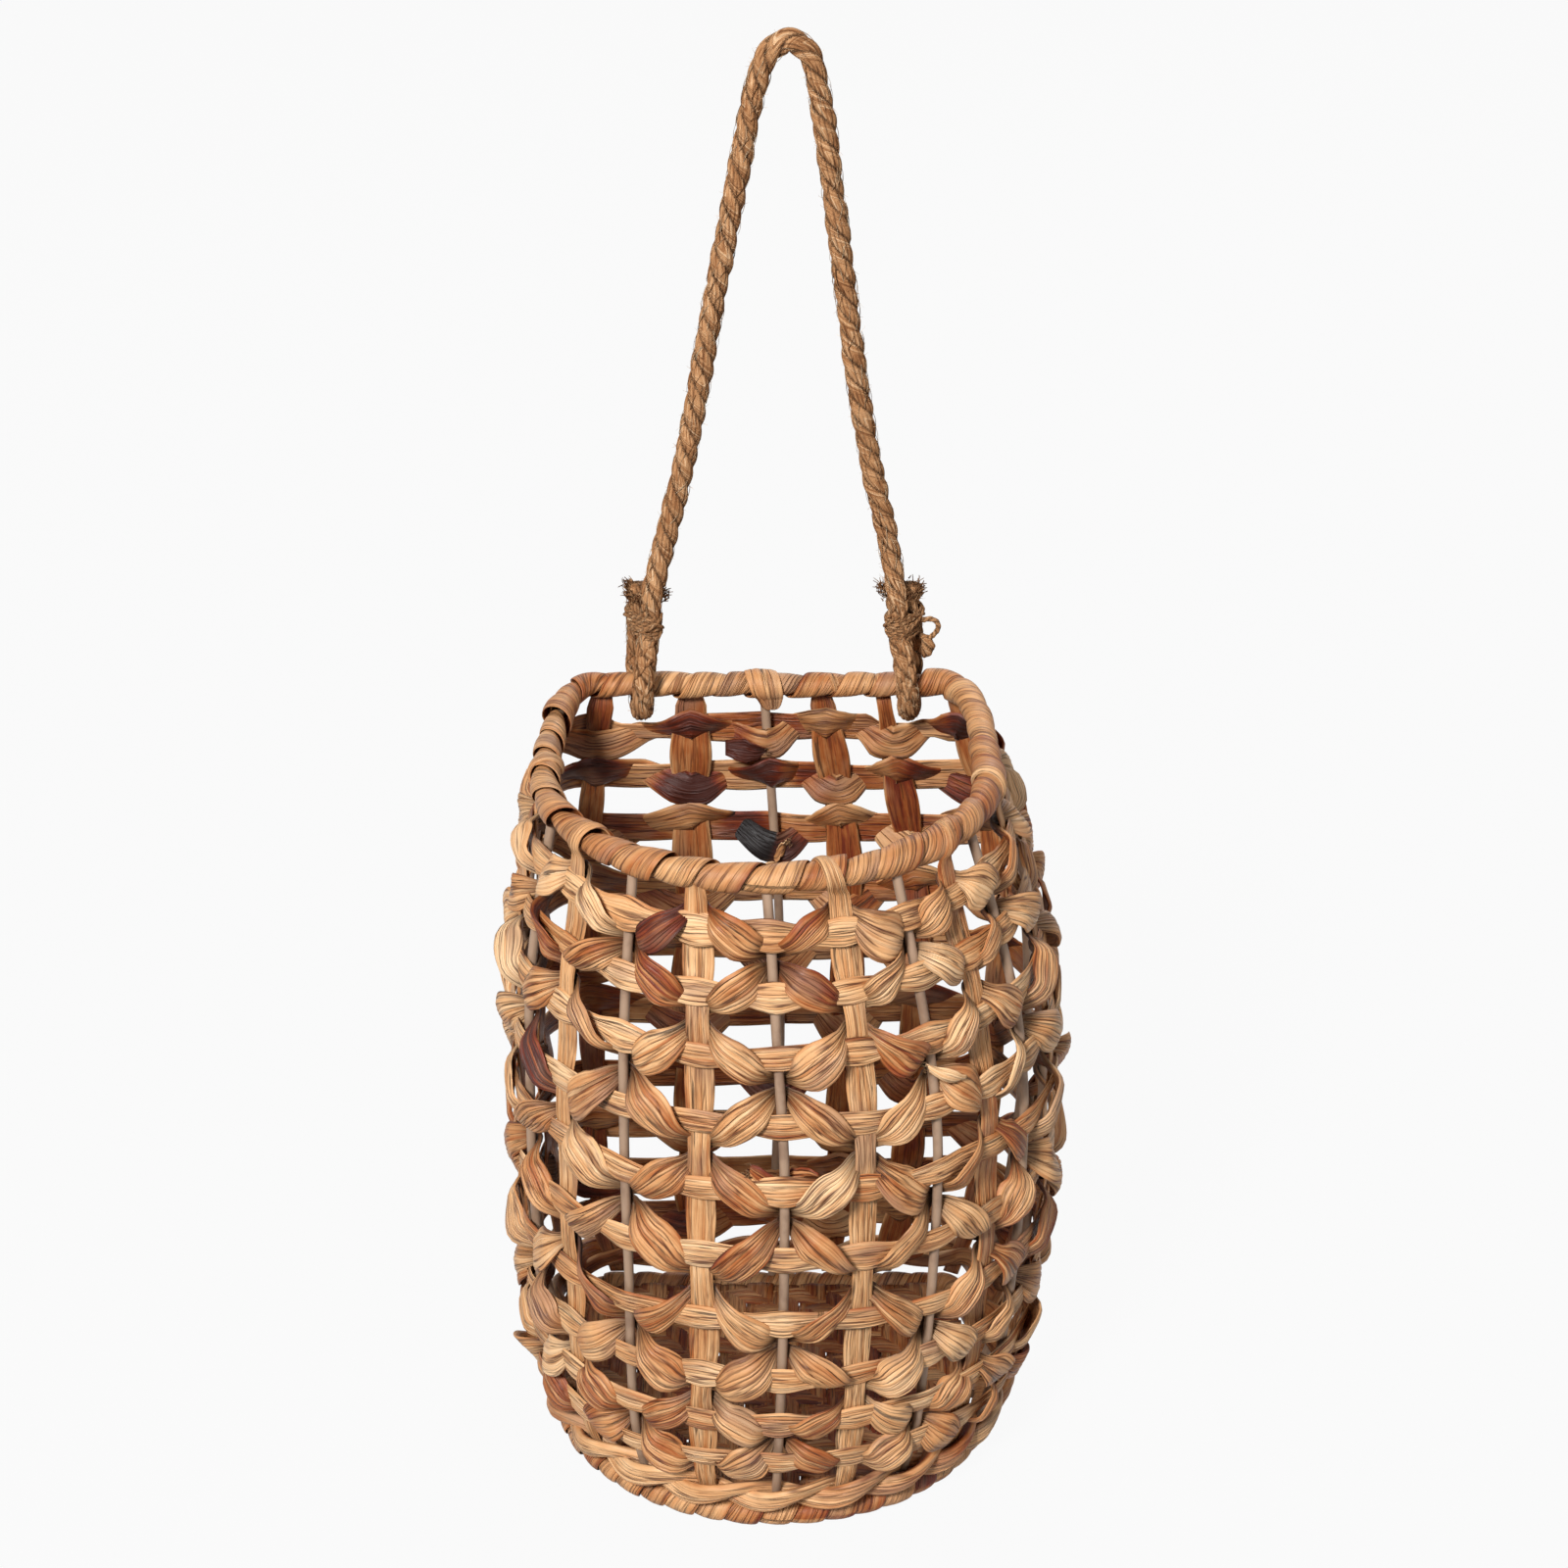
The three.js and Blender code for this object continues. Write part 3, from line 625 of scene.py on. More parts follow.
ropeRoute = {
    "points": [
        (-70.8, 5.3, 56), (-68.7, 4.4, 46), (-68.7, 4.5, 35), (-69.6, 9, 19), (-69.9, 11.7, 4),
        (-69.2, 8.4, -8), (-68, 0, -11.8), (-66.8, -8.4, -8), (-66, -11.7, 4), (-64.6, -9, 19),
        (-62.4, -4.5, 35), (-62, -4.4, 46), (-58.7, -1.3, 60), (-55.4, 0, 73), (-44.8, 0, 117),
        (-32.4, 0, 185), (-19.6, 0, 252), (-11.6, 0, 291), (-6.6, 0, 303.5), (2, 0, 309),
        (10.6, 0, 303.5), (14.6, 0, 290), (23.2, 0, 230), (33, 0, 154), (40.4, 0, 110),
        (46.8, 0, 82), (50.4, -1.2, 62), (52.7, -4.4, 46), (53, -4.5, 35), (55.8, -9, 19),
        (57.7, -11.7, 4), (58.6, -8.4, -8), (59.5, 0, -11.8), (60.4, 8.4, -8), (61, 11.7, 4),
        (60.8, 9, 19), (59.5, 4.5, 35), (59.5, 4.4, 46), (61.2, 5.3, 56),
    ],
    "from": (0.0, 97.5, 350.1),
    "radius": 5.3 * mm,
    "lay": 31 * mm,
    "surface": {"corners": 96, "gap": 1.1 * mm, "depth": 0.24, "yarns": 15, "yarnDepth": 0.6 * mm},
    "legs": (59 * mm, -68 * mm),
    "legReach": 19 * mm,
    "legFade": 8 * mm,
    "pinch": 0.2,
    "pinchAt": 38.5 * mm,
    "pinchReach": 7 * mm,
    "cutBack": 14,
}


def throughPoints(points, perSpan=24):
    # a centripetal curve through the points
    p = np.asarray(points, float)
    p = np.vstack([2 * p[0] - p[1], p, 2 * p[-1] - p[-2]])
    t = np.linspace(0, 1, perSpan, endpoint=False)[:, None]
    made = []
    for a, b, c, d in zip(p, p[1:], p[2:], p[3:]):
        before, middle, after = (max(np.linalg.norm(step) ** 0.5, 1e-9) for step in (b - a, c - b, d - c))
        rise = ((b - a) / before - (c - a) / (before + middle) + (c - b) / middle) * middle
        fall = ((c - b) / middle - (d - b) / (middle + after) + (d - c) / after) * middle
        made.append(curve(b, c, rise, fall, t))
    return np.vstack(made + [p[-2:-1]])


def evenly(points, gap):
    steps = runAlong(points)
    count = max(int(round(steps[-1] / gap)), 2)
    return eachWay(np.linspace(0, steps[-1], count + 1), steps, points)


def carried(points):
    # directions along and square to a path, turned as little as possible
    along = unit(np.gradient(points, axis=0))
    side = np.zeros_like(points)
    helper = np.array([0, 1.0, 0]) if abs(along[0][1]) < 0.8 else np.array([1.0, 0, 0])
    side[0] = unit(np.cross(along[0], helper))
    for i in range(1, len(points)):
        side[i] = unit(side[i - 1] - along[i] * np.dot(side[i - 1], along[i]))
    return along, side, np.cross(along, side)


strandShape = {
    "roundness": 0.75,
    "unevenKnots": 90,
    "uneven": 0.07,
    "shadeFade": 2.4,
    "yarnDrift": 0.12,
    "yarnFade": 1.6,
    "dashEvery": 5 * mm,
    "dashes": (-0.4, 1.4),
    "dashShade": 1.3,
}


def yarnGaps(rng, turn, steps, yarns, lay, look):
    # how far each spot lies in a groove between two yarns, and how much painted shade the groove gets there
    phase = yarns * (turn[None] + look["yarnDrift"] * fullTurn * steps[:, None] / lay)
    groove = np.abs(np.cos(phase / 2))
    number = np.floor(phase / fullTurn).astype(int) % yarns
    knots = max(4, int(steps[-1] / look["dashEvery"]))
    dashes = rng.uniform(*look["dashes"], (yarns, knots))
    at = np.broadcast_to(steps[:, None] / steps[-1] * (knots - 1), phase.shape)
    low = np.minimum(at.astype(int), knots - 2)
    share = ease(at - low)
    dark = dashes[number, low] * (1 - share) + dashes[number, low + 1] * share
    return np.clip(1 - groove * look["yarnFade"], 0, 1), np.clip(dark * look["dashShade"], 0, 1)


def laidTube(bundle, rng, points, radius, lay, lobes=3, corners=20, gap=0.8 * mm, depth=0.36, seed=0.0,
             taper=None, tone=0.0, yarns=0, yarnDepth=0.0):
    # strands laid together along a path
    look = strandShape
    points = evenly(points, gap)
    along, side, up = carried(points)
    steps = runAlong(points)
    turn = fullTurn * np.arange(corners) / corners
    phase = turn[None] + fullTurn * steps[:, None] / lay
    strand = np.abs(np.cos(phase * lobes / 2))
    size = radius * (1 - depth + depth * strand ** look["roundness"])
    size = size * (1 + wander(rng, len(points), look["unevenKnots"], look["uneven"])[:, None])
    gapShade = np.clip(1 - strand * look["shadeFade"], 0, 1)
    if yarns:
        groove, dark = yarnGaps(rng, turn, steps, yarns, lay, look)
        size = size - yarnDepth * groove * (0.3 + 0.7 * dark)
        gapShade = np.maximum(gapShade * (0.35 + 0.6 * dark), groove * dark)
    if taper is not None:
        size = size * taper(steps / steps[-1])[:, None]
    across = phase * lobes / fullTurn
    strandPlace = np.abs(across % 1.0 - 0.5) * 2
    number = np.floor(across + 0.5) % lobes
    coords = np.stack([strandPlace, np.broadcast_to(steps[:, None], size.shape), seed + number * 3.0], -1)
    tones = np.stack([np.full(size.shape, tone), gapShade, np.zeros(size.shape)], -1)
    bundle.add(hoops(points, size, side, up, corners), coords, tones)
    return points


ropePoints = np.array(ropeRoute["points"]) * mm + np.array(ropeRoute["from"]) * mm
ropeLine = throughPoints(ropePoints)[ropeRoute["cutBack"]:-ropeRoute["cutBack"]]
ropeSteps = runAlong(ropeLine)


def drawnIn(share):
    # how thick the rope is, less where the twine squeezes it
    height = np.interp(share * ropeSteps[-1], ropeSteps, ropeLine[:, 2]) - ropeRoute["from"][2] * mm
    return 1 - ropeRoute["pinch"] * np.exp(-((height - ropeRoute["pinchAt"]) / ropeRoute["pinchReach"]) ** 2)


def besideRope(points):
    # 1 on the rim where the rope's loops lie against it
    apart = np.min([np.abs(points[:, 0] - leg) for leg in ropeRoute["legs"]], axis=0)
    return ease((ropeRoute["legReach"] - apart) / ropeRoute["legFade"]) * (points[:, 1] > 0)


def makeRope(route):
    bundle = Bundle()
    rng = np.random.default_rng(11)
    line = laidTube(bundle, rng, ropeLine, route["radius"], route["lay"], taper=drawnIn, **route["surface"])
    return bundle.piece("handleRope", "jute", ["handle_rope"], "handle"), line


rope, ropeCentres = makeRope(ropeRoute)

hairLook = {
    "standing": 1100,
    "reach": 1.7 * mm,
    "thick": 0.1 * mm,
    "steps": 4,
    "root": 0.84,
    "leanOut": (0.15, 0.9),
    "leanAside": (-0.7, 0.7),
    "lengths": (0.8, 2.2),
    "bend": 0.35,
    "taper": 0.7,
    "tones": (0.5, 3.0),
    "lying": 520,
    "lyingRings": 8,
    "lyingTurn": (-0.5, 0.9),
    "lyingLift": (0.93, 0.1),
    "lyingThick": (0.8, 1.7),
    "lyingSurface": {"lobes": 2, "corners": 5, "gap": 1.3 * mm, "depth": 0.1},
    "lyingTones": (-3.5, 2.5, 5.0),
}


def standHairs(bundle, rng, line, radius, look):
    # loose fibres that stand out from the rope
    along, side, up = carried(line)
    t = np.linspace(0, 1, look["steps"])[:, None]
    for k in range(look["standing"]):
        i = rng.integers(2, len(line) - 2)
        angle = rng.uniform(0, fullTurn)
        out = side[i] * math.cos(angle) + up[i] * math.sin(angle)
        lean = out * rng.uniform(*look["leanOut"]) + along[i] * rng.uniform(-1, 1)
        lean = unit(lean + np.cross(along[i], out) * rng.uniform(*look["leanAside"]))
        length = look["reach"] * rng.uniform(*look["lengths"])
        bend = unit(rng.normal(size=3)) * length * look["bend"]
        points = line[i] + out * radius * look["root"] + lean * length * t + bend * t * t
        outward = points - line[i]
        far = np.linalg.norm(outward - along[i] * (outward @ along[i])[:, None], axis=1)
        points = points - out * np.clip(far - radius - look["reach"], 0, None)[:, None]
        hairSide, hairUp = carried(points)[1:]
        rings = hoops(points, look["thick"] * (1 - look["taper"] * t), hairSide, hairUp, 3)
        coords = np.zeros(rings.shape) + rng.uniform(0, 40)
        tones = np.zeros(rings.shape)
        tones[..., 0] = rng.uniform(*look["tones"])
        bundle.add(rings, coords, tones)


def layHairs(bundle, rng, line, radius, look):
    # loose fibres that lie along the rope
    along, side, up = carried(line)
    t = np.linspace(0, 1, look["lyingRings"])
    low, more = look["lyingLift"]
    lift = radius * (low + more * np.sin(math.pi * t))[:, None]
    for k in range(look["lying"]):
        i = rng.integers(2, len(line) - look["lyingRings"] - 2)
        at = np.arange(i, i + look["lyingRings"])
        angle = rng.uniform(0, fullTurn) + rng.uniform(*look["lyingTurn"]) * t
        points = line[at] + outAt(angle, side[at], up[at]) * lift
        laidTube(bundle, rng, points, look["thick"] * rng.uniform(*look["lyingThick"]), 4 * mm,
                 seed=rng.uniform(0, 30), tone=rng.choice(look["lyingTones"]), **look["lyingSurface"])


def makeRopeHairs(look):
    bundle = Bundle()
    rng = np.random.default_rng(12)
    for make in (layHairs, standHairs):
        make(bundle, rng, ropeCentres, ropeRoute["radius"], look)
    return bundle.piece("ropeHairs", "jute", body="handle")


ropeHairs = makeRopeHairs(hairLook)

# Lashings: twine wound round each end of the rope and the rope beside it

twine = {"lobes": 2, "corners": 14, "gap": 0.9 * mm, "depth": 0.3}
lashingLook = {
    "twine": 0.85 * mm,
    "lay": 7 * mm,
    "pitch": 1.4 * mm,
    "turns": 8,
    "perTurn": 26,
    "low": 28 * mm,
    "wobble": 0.9 * mm,
    "squeeze": 0.9 * mm,
    "slanted": [(0.4, 11), (1.3, -11), (2.6, 10), (3.5, -10), (4.4, 11), (5.3, -9)],  # start, climb in mm
    "slantedFrom": (1 * mm, 11 * mm),
    "slantedTurn": 2.6,
    "slantedSteps": 30,
    "proud": 1.6,
}


def ropeLeg(first, last):
    # the rope's centre line between two of the route's points, from low to high
    part = throughPoints(ropePoints[first:last + 1])
    return part[np.argsort(part[:, 2])]


def ropeAt(leg, height):
    x, y = (np.interp(height, leg[:, 2], leg[:, k]) for k in range(2))
    return np.array([x, y, height])


def roundLegs(legs, height, reach, angle):
    # a point round two lengths of rope
    near, far = (ropeAt(leg, height) for leg in legs)
    across = (far - near) / 2
    direction = flattened(across)
    aside = np.array([-direction[1], direction[0], 0])
    swing = np.clip(1.4 * math.cos(angle), -1, 1)
    spoke = direction * reach * math.cos(angle) + aside * reach * math.sin(angle)
    return (near + far) / 2 + across * swing + spoke


def makeLashing(name, node, legs, seed, extras, look):
    rng = np.random.default_rng(seed)
    bundle = Bundle()
    base = topHeight + look["low"]
    reach = ropeRoute["radius"] + look["twine"] * 0.85 - look["squeeze"]
    count = look["turns"] * look["perTurn"]
    points = np.array([roundLegs(legs, base + look["pitch"] * angle / fullTurn, reach, angle)
                       for angle in np.linspace(0, fullTurn * look["turns"], count)])
    points[:, 2] += wander(rng, count, look["turns"] * 3, look["wobble"])
    laidTube(bundle, rng, points, look["twine"], look["lay"], seed=seed, **twine)
    rising, falling = look["slantedFrom"]
    for start, climb in look["slanted"]:
        bottom = base + (rising if climb > 0 else falling)
        points = []
        for s in np.linspace(0, 1, look["slantedSteps"]):
            proud = look["proud"] * look["twine"] * math.sin(math.pi * s)
            angle = start + look["slantedTurn"] * s
            points.append(roundLegs(legs, bottom + climb * mm * s, reach + proud, angle))
        laidTube(bundle, rng, np.array(points), look["twine"], look["lay"], seed=seed + 5, **twine)
    extras(bundle, rng)
    return bundle.piece(name, "jute", [node], "handle")


def frayedEnd(bundle, rng, start, direction, count, length, spread, thick, tones=(-3.5, 1.0)):
    direction = unit(np.array(direction, float))
    t = np.linspace(0, 1, 6)[:, None]
    for k in range(count):
        lean = unit(direction + rng.normal(size=3) * spread)
        bend = rng.normal(size=3) * 0.25 * length
        size = thick * rng.uniform(0.6, 1.3)
        begin = np.array(start) + rng.normal(size=3) * 1.1 * mm
        points = begin + lean * length * rng.uniform(0.6, 1.1) * t + bend * t * t
        laidTube(bundle, rng, points, size, 4 * mm, lobes=2, corners=6, gap=length / 6, depth=0.2,
                 seed=rng.uniform(0, 30), taper=lambda s: 1 - 0.5 * s, tone=rng.uniform(*tones))


collarLook = {
    "reach": (8.0, 5.4, 0),
    "tufts": 30,
    "fibres": 6,
    "length": 3.6 * mm,
    "spread": 0.4,
    "thick": 0.36 * mm,
}


def makeCollar(bundle, rng, middle, look):
    # the ragged ends that stand up round the top of a lashing
    for k in range(look["tufts"]):
        angle = fullTurn * k / look["tufts"]
        side = np.array([math.cos(angle), math.sin(angle), 0])
        spot = middle + side * look["reach"] * mm + (0, 0, rng.uniform(-2.4, 1) * mm)
        frayedEnd(bundle, rng, spot, side * 0.5 + (0, 0, 0.9), look["fibres"], look["length"],
                  look["spread"], look["thick"])


slackLook = {
    "strands": 4,
    "radius": 1.35 * mm,
    "out": 4.2 * mm,
    "lay": 46 * mm,
    "wobble": 0.5,
    "step": 1.5 * mm,
}


def makeSlack(bundle, rng, line, look):
    # strands of the rope that have worked loose below its lashing
    line = evenly(line, look["step"])
    along, side, up = carried(line)
    run = np.arange(len(line)) * look["step"]
    for k in range(look["strands"]):
        angle = fullTurn * (k / look["strands"] + run / look["lay"])
        angle = angle + wander(rng, len(line), 6, look["wobble"])
        laidTube(bundle, rng, line + outAt(angle, side, up) * look["out"], look["radius"], 9 * mm,
                 seed=rng.uniform(0, 30), tone=rng.uniform(-1.2, 1.2), **twine)


def off(spot, *shift):
    return spot + np.array(shift) * mm


ropeStub = np.array([(0.4, 0, -4), (-1.2, -1, -1), (-3.2, -2, 0.6)]) * mm

# Frayed ends: direction, fibres, length, spread, thickness
frayedEnds = {
    "left": ((-0.9, -0.5, 0.9), 34, 2.8 * mm, 0.45, 0.32 * mm),
    "right": ((0.9, -0.3, 0.7), 30, 3.6 * mm, 0.5, 0.34 * mm),
    "inside": ((-0.7, -0.4, 0.9), 26, 3.6 * mm, 0.45, 0.34 * mm),
}


def leftExtras(bundle, rng):
    stub = ropeCentres[0] + ropeStub
    laidTube(bundle, rng, throughPoints(stub, 6), 3.0 * mm, 16 * mm, seed=3.0)
    frayedEnd(bundle, rng, stub[-1], *frayedEnds["left"])
    makeSlack(bundle, rng, throughPoints(ropePoints[7:12]), slackLook)
    makeCollar(bundle, rng, off((ropePoints[0] + ropePoints[12]) / 2, 0, 0, -12), collarLook)


# The small loop of twine beside the right lashing, and the knot under it
twineLoop = np.array([
    (-1, 0, -4), (1.6, -1.6, -2.4), (4.8, -2.6, -1.6), (7.6, -3, -3), (8.2, -3, -6), (6.4, -3, -9.2),
    (4, -2.6, -11.2), (1.6, -1.4, -11), (0, 0, -12),
]) * mm
twineKnot = np.array([(2.4, -2.2, -11), (3.6, -3, -14), (3.4, -2.6, -18), (1.8, -1.4, -21)]) * mm


def rightExtras(bundle, rng):
    end = ropeCentres[-1]
    inside = ropePoints[26]
    makeSlack(bundle, rng, throughPoints(ropePoints[27:32]), slackLook)
    frayedEnd(bundle, rng, off(end, 0, 0, -1), *frayedEnds["right"])
    frayedEnd(bundle, rng, off(inside, -4.6, 0, -12), *frayedEnds["inside"])
    makeCollar(bundle, rng, off((end + inside) / 2, 0, 0, -9), collarLook)
    root = off(ropePoints[-3], 4.6, -2, 1)
    loopSurface = {**twine, "gap": 0.7 * mm}
    laidTube(bundle, rng, throughPoints(root + twineLoop, 10), 1.35 * mm, 6 * mm, seed=8.0, **loopSurface)
    laidTube(bundle, rng, throughPoints(root + twineKnot, 8), 3.3 * mm, 15 * mm, corners=22, seed=9.0,
             taper=lambda s: 0.55 + 0.45 * np.sin(math.pi * np.clip(s * 0.9 + 0.1, 0, 1)))


leftLegs = ropeLeg(0, 3), ropeLeg(9, 12)
rightLegs = ropeLeg(35, 38), ropeLeg(26, 29)
leftLashing = makeLashing("lashingLeft", "lashing_left", leftLegs, 21, leftExtras, lashingLook)
rightLashing = makeLashing("lashingRight", "lashing_right", rightLegs, 22, rightExtras, lashingLook)
print("lashings made")

# Wires of the frame

wireShape = {"radius": 2.25 * mm, "corners": 14, "steps": 60, "ringSteps": 264, "sway": 0.02}


def roundTube(bundle, points, radius, corners, closed=False):
    along = loopAlong(points) if closed else unit(np.gradient(points, axis=0))
    helper = upward if abs(along[0][2]) < 0.7 else np.array([0.31, 0.95, 0])
    side = unit(np.cross(along, helper))
    rings = hoops(points, radius, side, np.cross(along, side), corners)
    bundle.add(rings, np.zeros(rings.shape), np.zeros(rings.shape), closed)


def makeUprightWires(look):
    rng = np.random.default_rng(31)
    drop = np.linspace(1 * mm, wallHeight - 1 * mm, look["steps"])
    for number, place in enumerate(filter(isWire, range(uprights)), 1):
        sway = wander(rng, look["steps"], 6, look["sway"]) * np.sin(math.pi * drop / wallHeight)
        bundle = Bundle()
        roundTube(bundle, wallPoint(place + sway, drop), look["radius"], look["corners"])
        bundle.piece(f"uprightWire{number}", "wire_paint", [f"upright_wire_{number}"])


def makeRings(look):
    place = np.linspace(0, uprights, look["ringSteps"], endpoint=False)
    for name, node, drop in (("topRing", "top_ring", 0.0), ("bottomRing", "bottom_ring", wallHeight)):
        bundle = Bundle()
        roundTube(bundle, wallPoint(place, drop), look["radius"], look["corners"], closed=True)
        bundle.piece(name, "wire_paint", [node])


makeUprightWires(wireShape)
makeRings(wireShape)
print("frame wires made")

# Stretches that dried red-brown or black: strip, upright, reach, change of tone, blackness
leafMarks = {
    "petals": [
        (0, 13.0, 0.45, 0.42, 0.0), (1, 13.0, 0.4, 0.42, 0.0), (1, 14.1, 0.5, 0.4, 0.0),
        (0, 12.5, 0.35, 0.3, 0.0), (2, 12.3, 0.4, 0.3, 1.0), (2, 11.8, 0.3, 0.4, 0.0),
        (0, 9.2, 0.4, 0.34, 0.0), (1, 12.1, 0.3, 0.3, 0.0), (0, 20.3, 0.5, 0.36, 0.0),
        (0, 20.9, 0.3, 0.4, 0.35), (2, 1.5, 0.5, 0.42, 0.3), (1, 18.6, 0.5, 0.4, 0.0),
        (3, 18.4, 0.5, 0.3, 0.0),
    ],
    "bands": [(2, 12.4, 0.4, 0.3, 0.2), (2, 13.6, 0.5, 0.34, 0.0), (1, 11.4, 0.3, 0.3, 0.0)],
}

# Torn places: strip, from upright, to upright, then in mm the depth and the outward place of both ends
# and the width, and last the tone
tornFlaps = {
    "petals": [
        (0, 12.02, 12.55, (33, 33), (-6.4, -4.6), 13.0, 0.78),
        (4, 1.85, 2.35, (94, 101), (5.2, 9.0), 7.5, 0.08),
        (5, 21.6, 22.0, (139, 146), (0.5, -3.6), 7.5, 0.66),
        (5, 22.0, 22.42, (146, 140), (-3.6, 0.5), 7.0, 0.7),
    ],
    "bands": [(2, 11.82, 12.02, (84, 92), (-6.0, -5.6), 8.0, 0.2)],
}
tearShape = {
    "steps": 16,
    "thick": 0.9 * mm,
    "rough": 1.2 * mm,
    "bulge": 2 * mm,
    "roll": (-0.7, 0.9),
    "fibres": 9,
    "length": 2.2 * mm,
    "fine": 0.22 * mm,
    "leaf": {"folds": 6, "foldDepth": 0.8 * mm, "ridge": 0.3 * mm, "crown": 0.8 * mm, "deep": 0.6},
}


def tearLeaf(bundle, rng, kind, index, look):
    t = np.linspace(0, 1, look["steps"])
    for marked, first, last, drops, outs, wide, tone in tornFlaps[kind]:
        if marked != index:
            continue
        drop = (drops[0] + (drops[1] - drops[0]) * t) * mm + wander(rng, len(t), 5, look["rough"])
        at, along, down, out = wallFrame(first + (last - first) * t, drop)
        outward = (outs[0] + (outs[1] - outs[0]) * t) * mm
        outward = outward + look["bulge"] * np.sin(math.pi * t) * np.sign(outs[0])
        across, up = rolled(-down, out, np.linspace(*look["roll"], len(t)))
        width = wide * mm * (0.25 + 0.75 * np.sin(math.pi * (0.1 + 0.8 * t)) ** 0.8)
        width = width + wander(rng, len(t), 9, look["rough"])
        centre = at + out * outward[:, None]
        leafStrip(bundle, rng, centre, across, up, width, look["thick"], tone, **look["leaf"])
        for k in range(look["fibres"]):
            spot = at[0] + out[0] * outward[0] + across[0] * rng.uniform(-0.5, 0.5) * width[0]
            frayedEnd(bundle, rng, spot, -along[0], 2, look["length"], 0.45, look["fine"], (0.0, 0.45))


def markLeaf(kind, index, place, tone):
    stain = np.zeros(len(place))
    for marked, spot, reach, shift, black in leafMarks[kind]:
        if marked == index:
            apart = np.abs((place - spot + uprights / 2) % uprights - uprights / 2)
            near = ease(1.4 - apart / reach * 1.2)
            tone = tone + shift * near
            stain = np.maximum(stain, black * near)
    return tone, stain


# Bands: each runs round outside every upright

bandLevels = [level for row in range(wall["rows"]) for level in (4 * row + 1, 4 * row + 3)]
bandShape = {
    "width": (11.5 * mm, 16.5 * mm),
    "midWidth": (9.0 * mm, 12.0 * mm),
    "backWidth": (14.0 * mm, 16.5 * mm),
    "backFrom": 60 * mm,
    "backFade": 25 * mm,
    "thick": 1.5 * mm,
    "outAtWire": 3.6 * mm,
    "outAtStake": 2.8 * mm,
    "outBetween": 2.2 * mm,
    "middleShare": 0.15,
    # how many swings round the basket, and how far each goes
    "uneven": (44, 0.25 * mm),
    "sag": (22, 1.3 * mm),
    "lean": (30, 0.16),
    "toneWander": (26, 0.17),
    "nearRope": 8.0 * mm,
    "lower": 1.6 * mm,
    "startAt": 0.5,
    "steps": 12,
    "tone": 0.31,
    "leaf": {"folds": 9, "foldDepth": 0.6 * mm, "ridge": 0.14 * mm, "crown": 0.6 * mm, "deep": 0.25},
}


def makeBand(index, level, look):
    rng = np.random.default_rng(100 + index)
    count = uprights * look["steps"]
    place = (np.arange(count) / look["steps"] + look["startAt"]) % uprights
    span = place.astype(int)
    upright = np.round(place).astype(int) % uprights
    middle = look["middleShare"]
    atUpright = ease((1 - 2 * np.abs(place - np.round(place))) * (1 + middle) - middle)
    widths = rng.uniform(*look["width"], uprights)
    middles = rng.uniform(*look["midWidth"], uprights)[span]
    outs = np.array([look["outAtWire"] if isWire(p) else look["outAtStake"] for p in range(uprights)])
    width = middles + (widths[upright] - middles) * atUpright
    inBack = ease((wallPoint(place, levelDrops[level])[:, 1] - look["backFrom"]) / look["backFade"])
    wide = rng.uniform(*look["backWidth"], uprights)[span]
    width = width + (np.maximum(wide, width) - width) * inBack
    outward = look["outBetween"] + (outs[upright] - look["outBetween"]) * atUpright
    outward = outward + wander(rng, count, *look["uneven"], True)
    drop = levelDrops[level] + wander(rng, count, *look["sag"], True)
    lean = wander(rng, count, *look["lean"], True)
    if index == 0:
        # the top band keeps out of the rope's way
        clear = besideRope(wallPoint(place, drop))
        width = width + (look["nearRope"] - width) * clear
        outward = outward + (look["outBetween"] - outward) * clear
        drop = drop + look["lower"] * clear
        lean = lean * (1 - clear)
    at, along, down, out = wallFrame(place, drop)
    down, out = rolled(down, out, lean)
    centre = at + out * outward[:, None]
    tone = look["tone"] + wander(rng, count, *look["toneWander"], True)
    tone, stain = markLeaf("bands", index, place, tone)
    bundle = Bundle()
    leafStrip(bundle, rng, centre, -down, out, width, look["thick"], tone, stain, closed=True,
              **look["leaf"])
    tearLeaf(bundle, rng, "bands", index, tearShape)
    row, letter = index // 2 + 1, "ab"[index % 2]
    bundle.piece(f"band{row}{letter}", "leaf_weave", [f"band_{row}{letter}"])


for index, level in enumerate(bandLevels):
    makeBand(index, level, bandShape)
print("bands made")

# Petal weavers: each dips inside every upright and comes out over the band as a petal in between

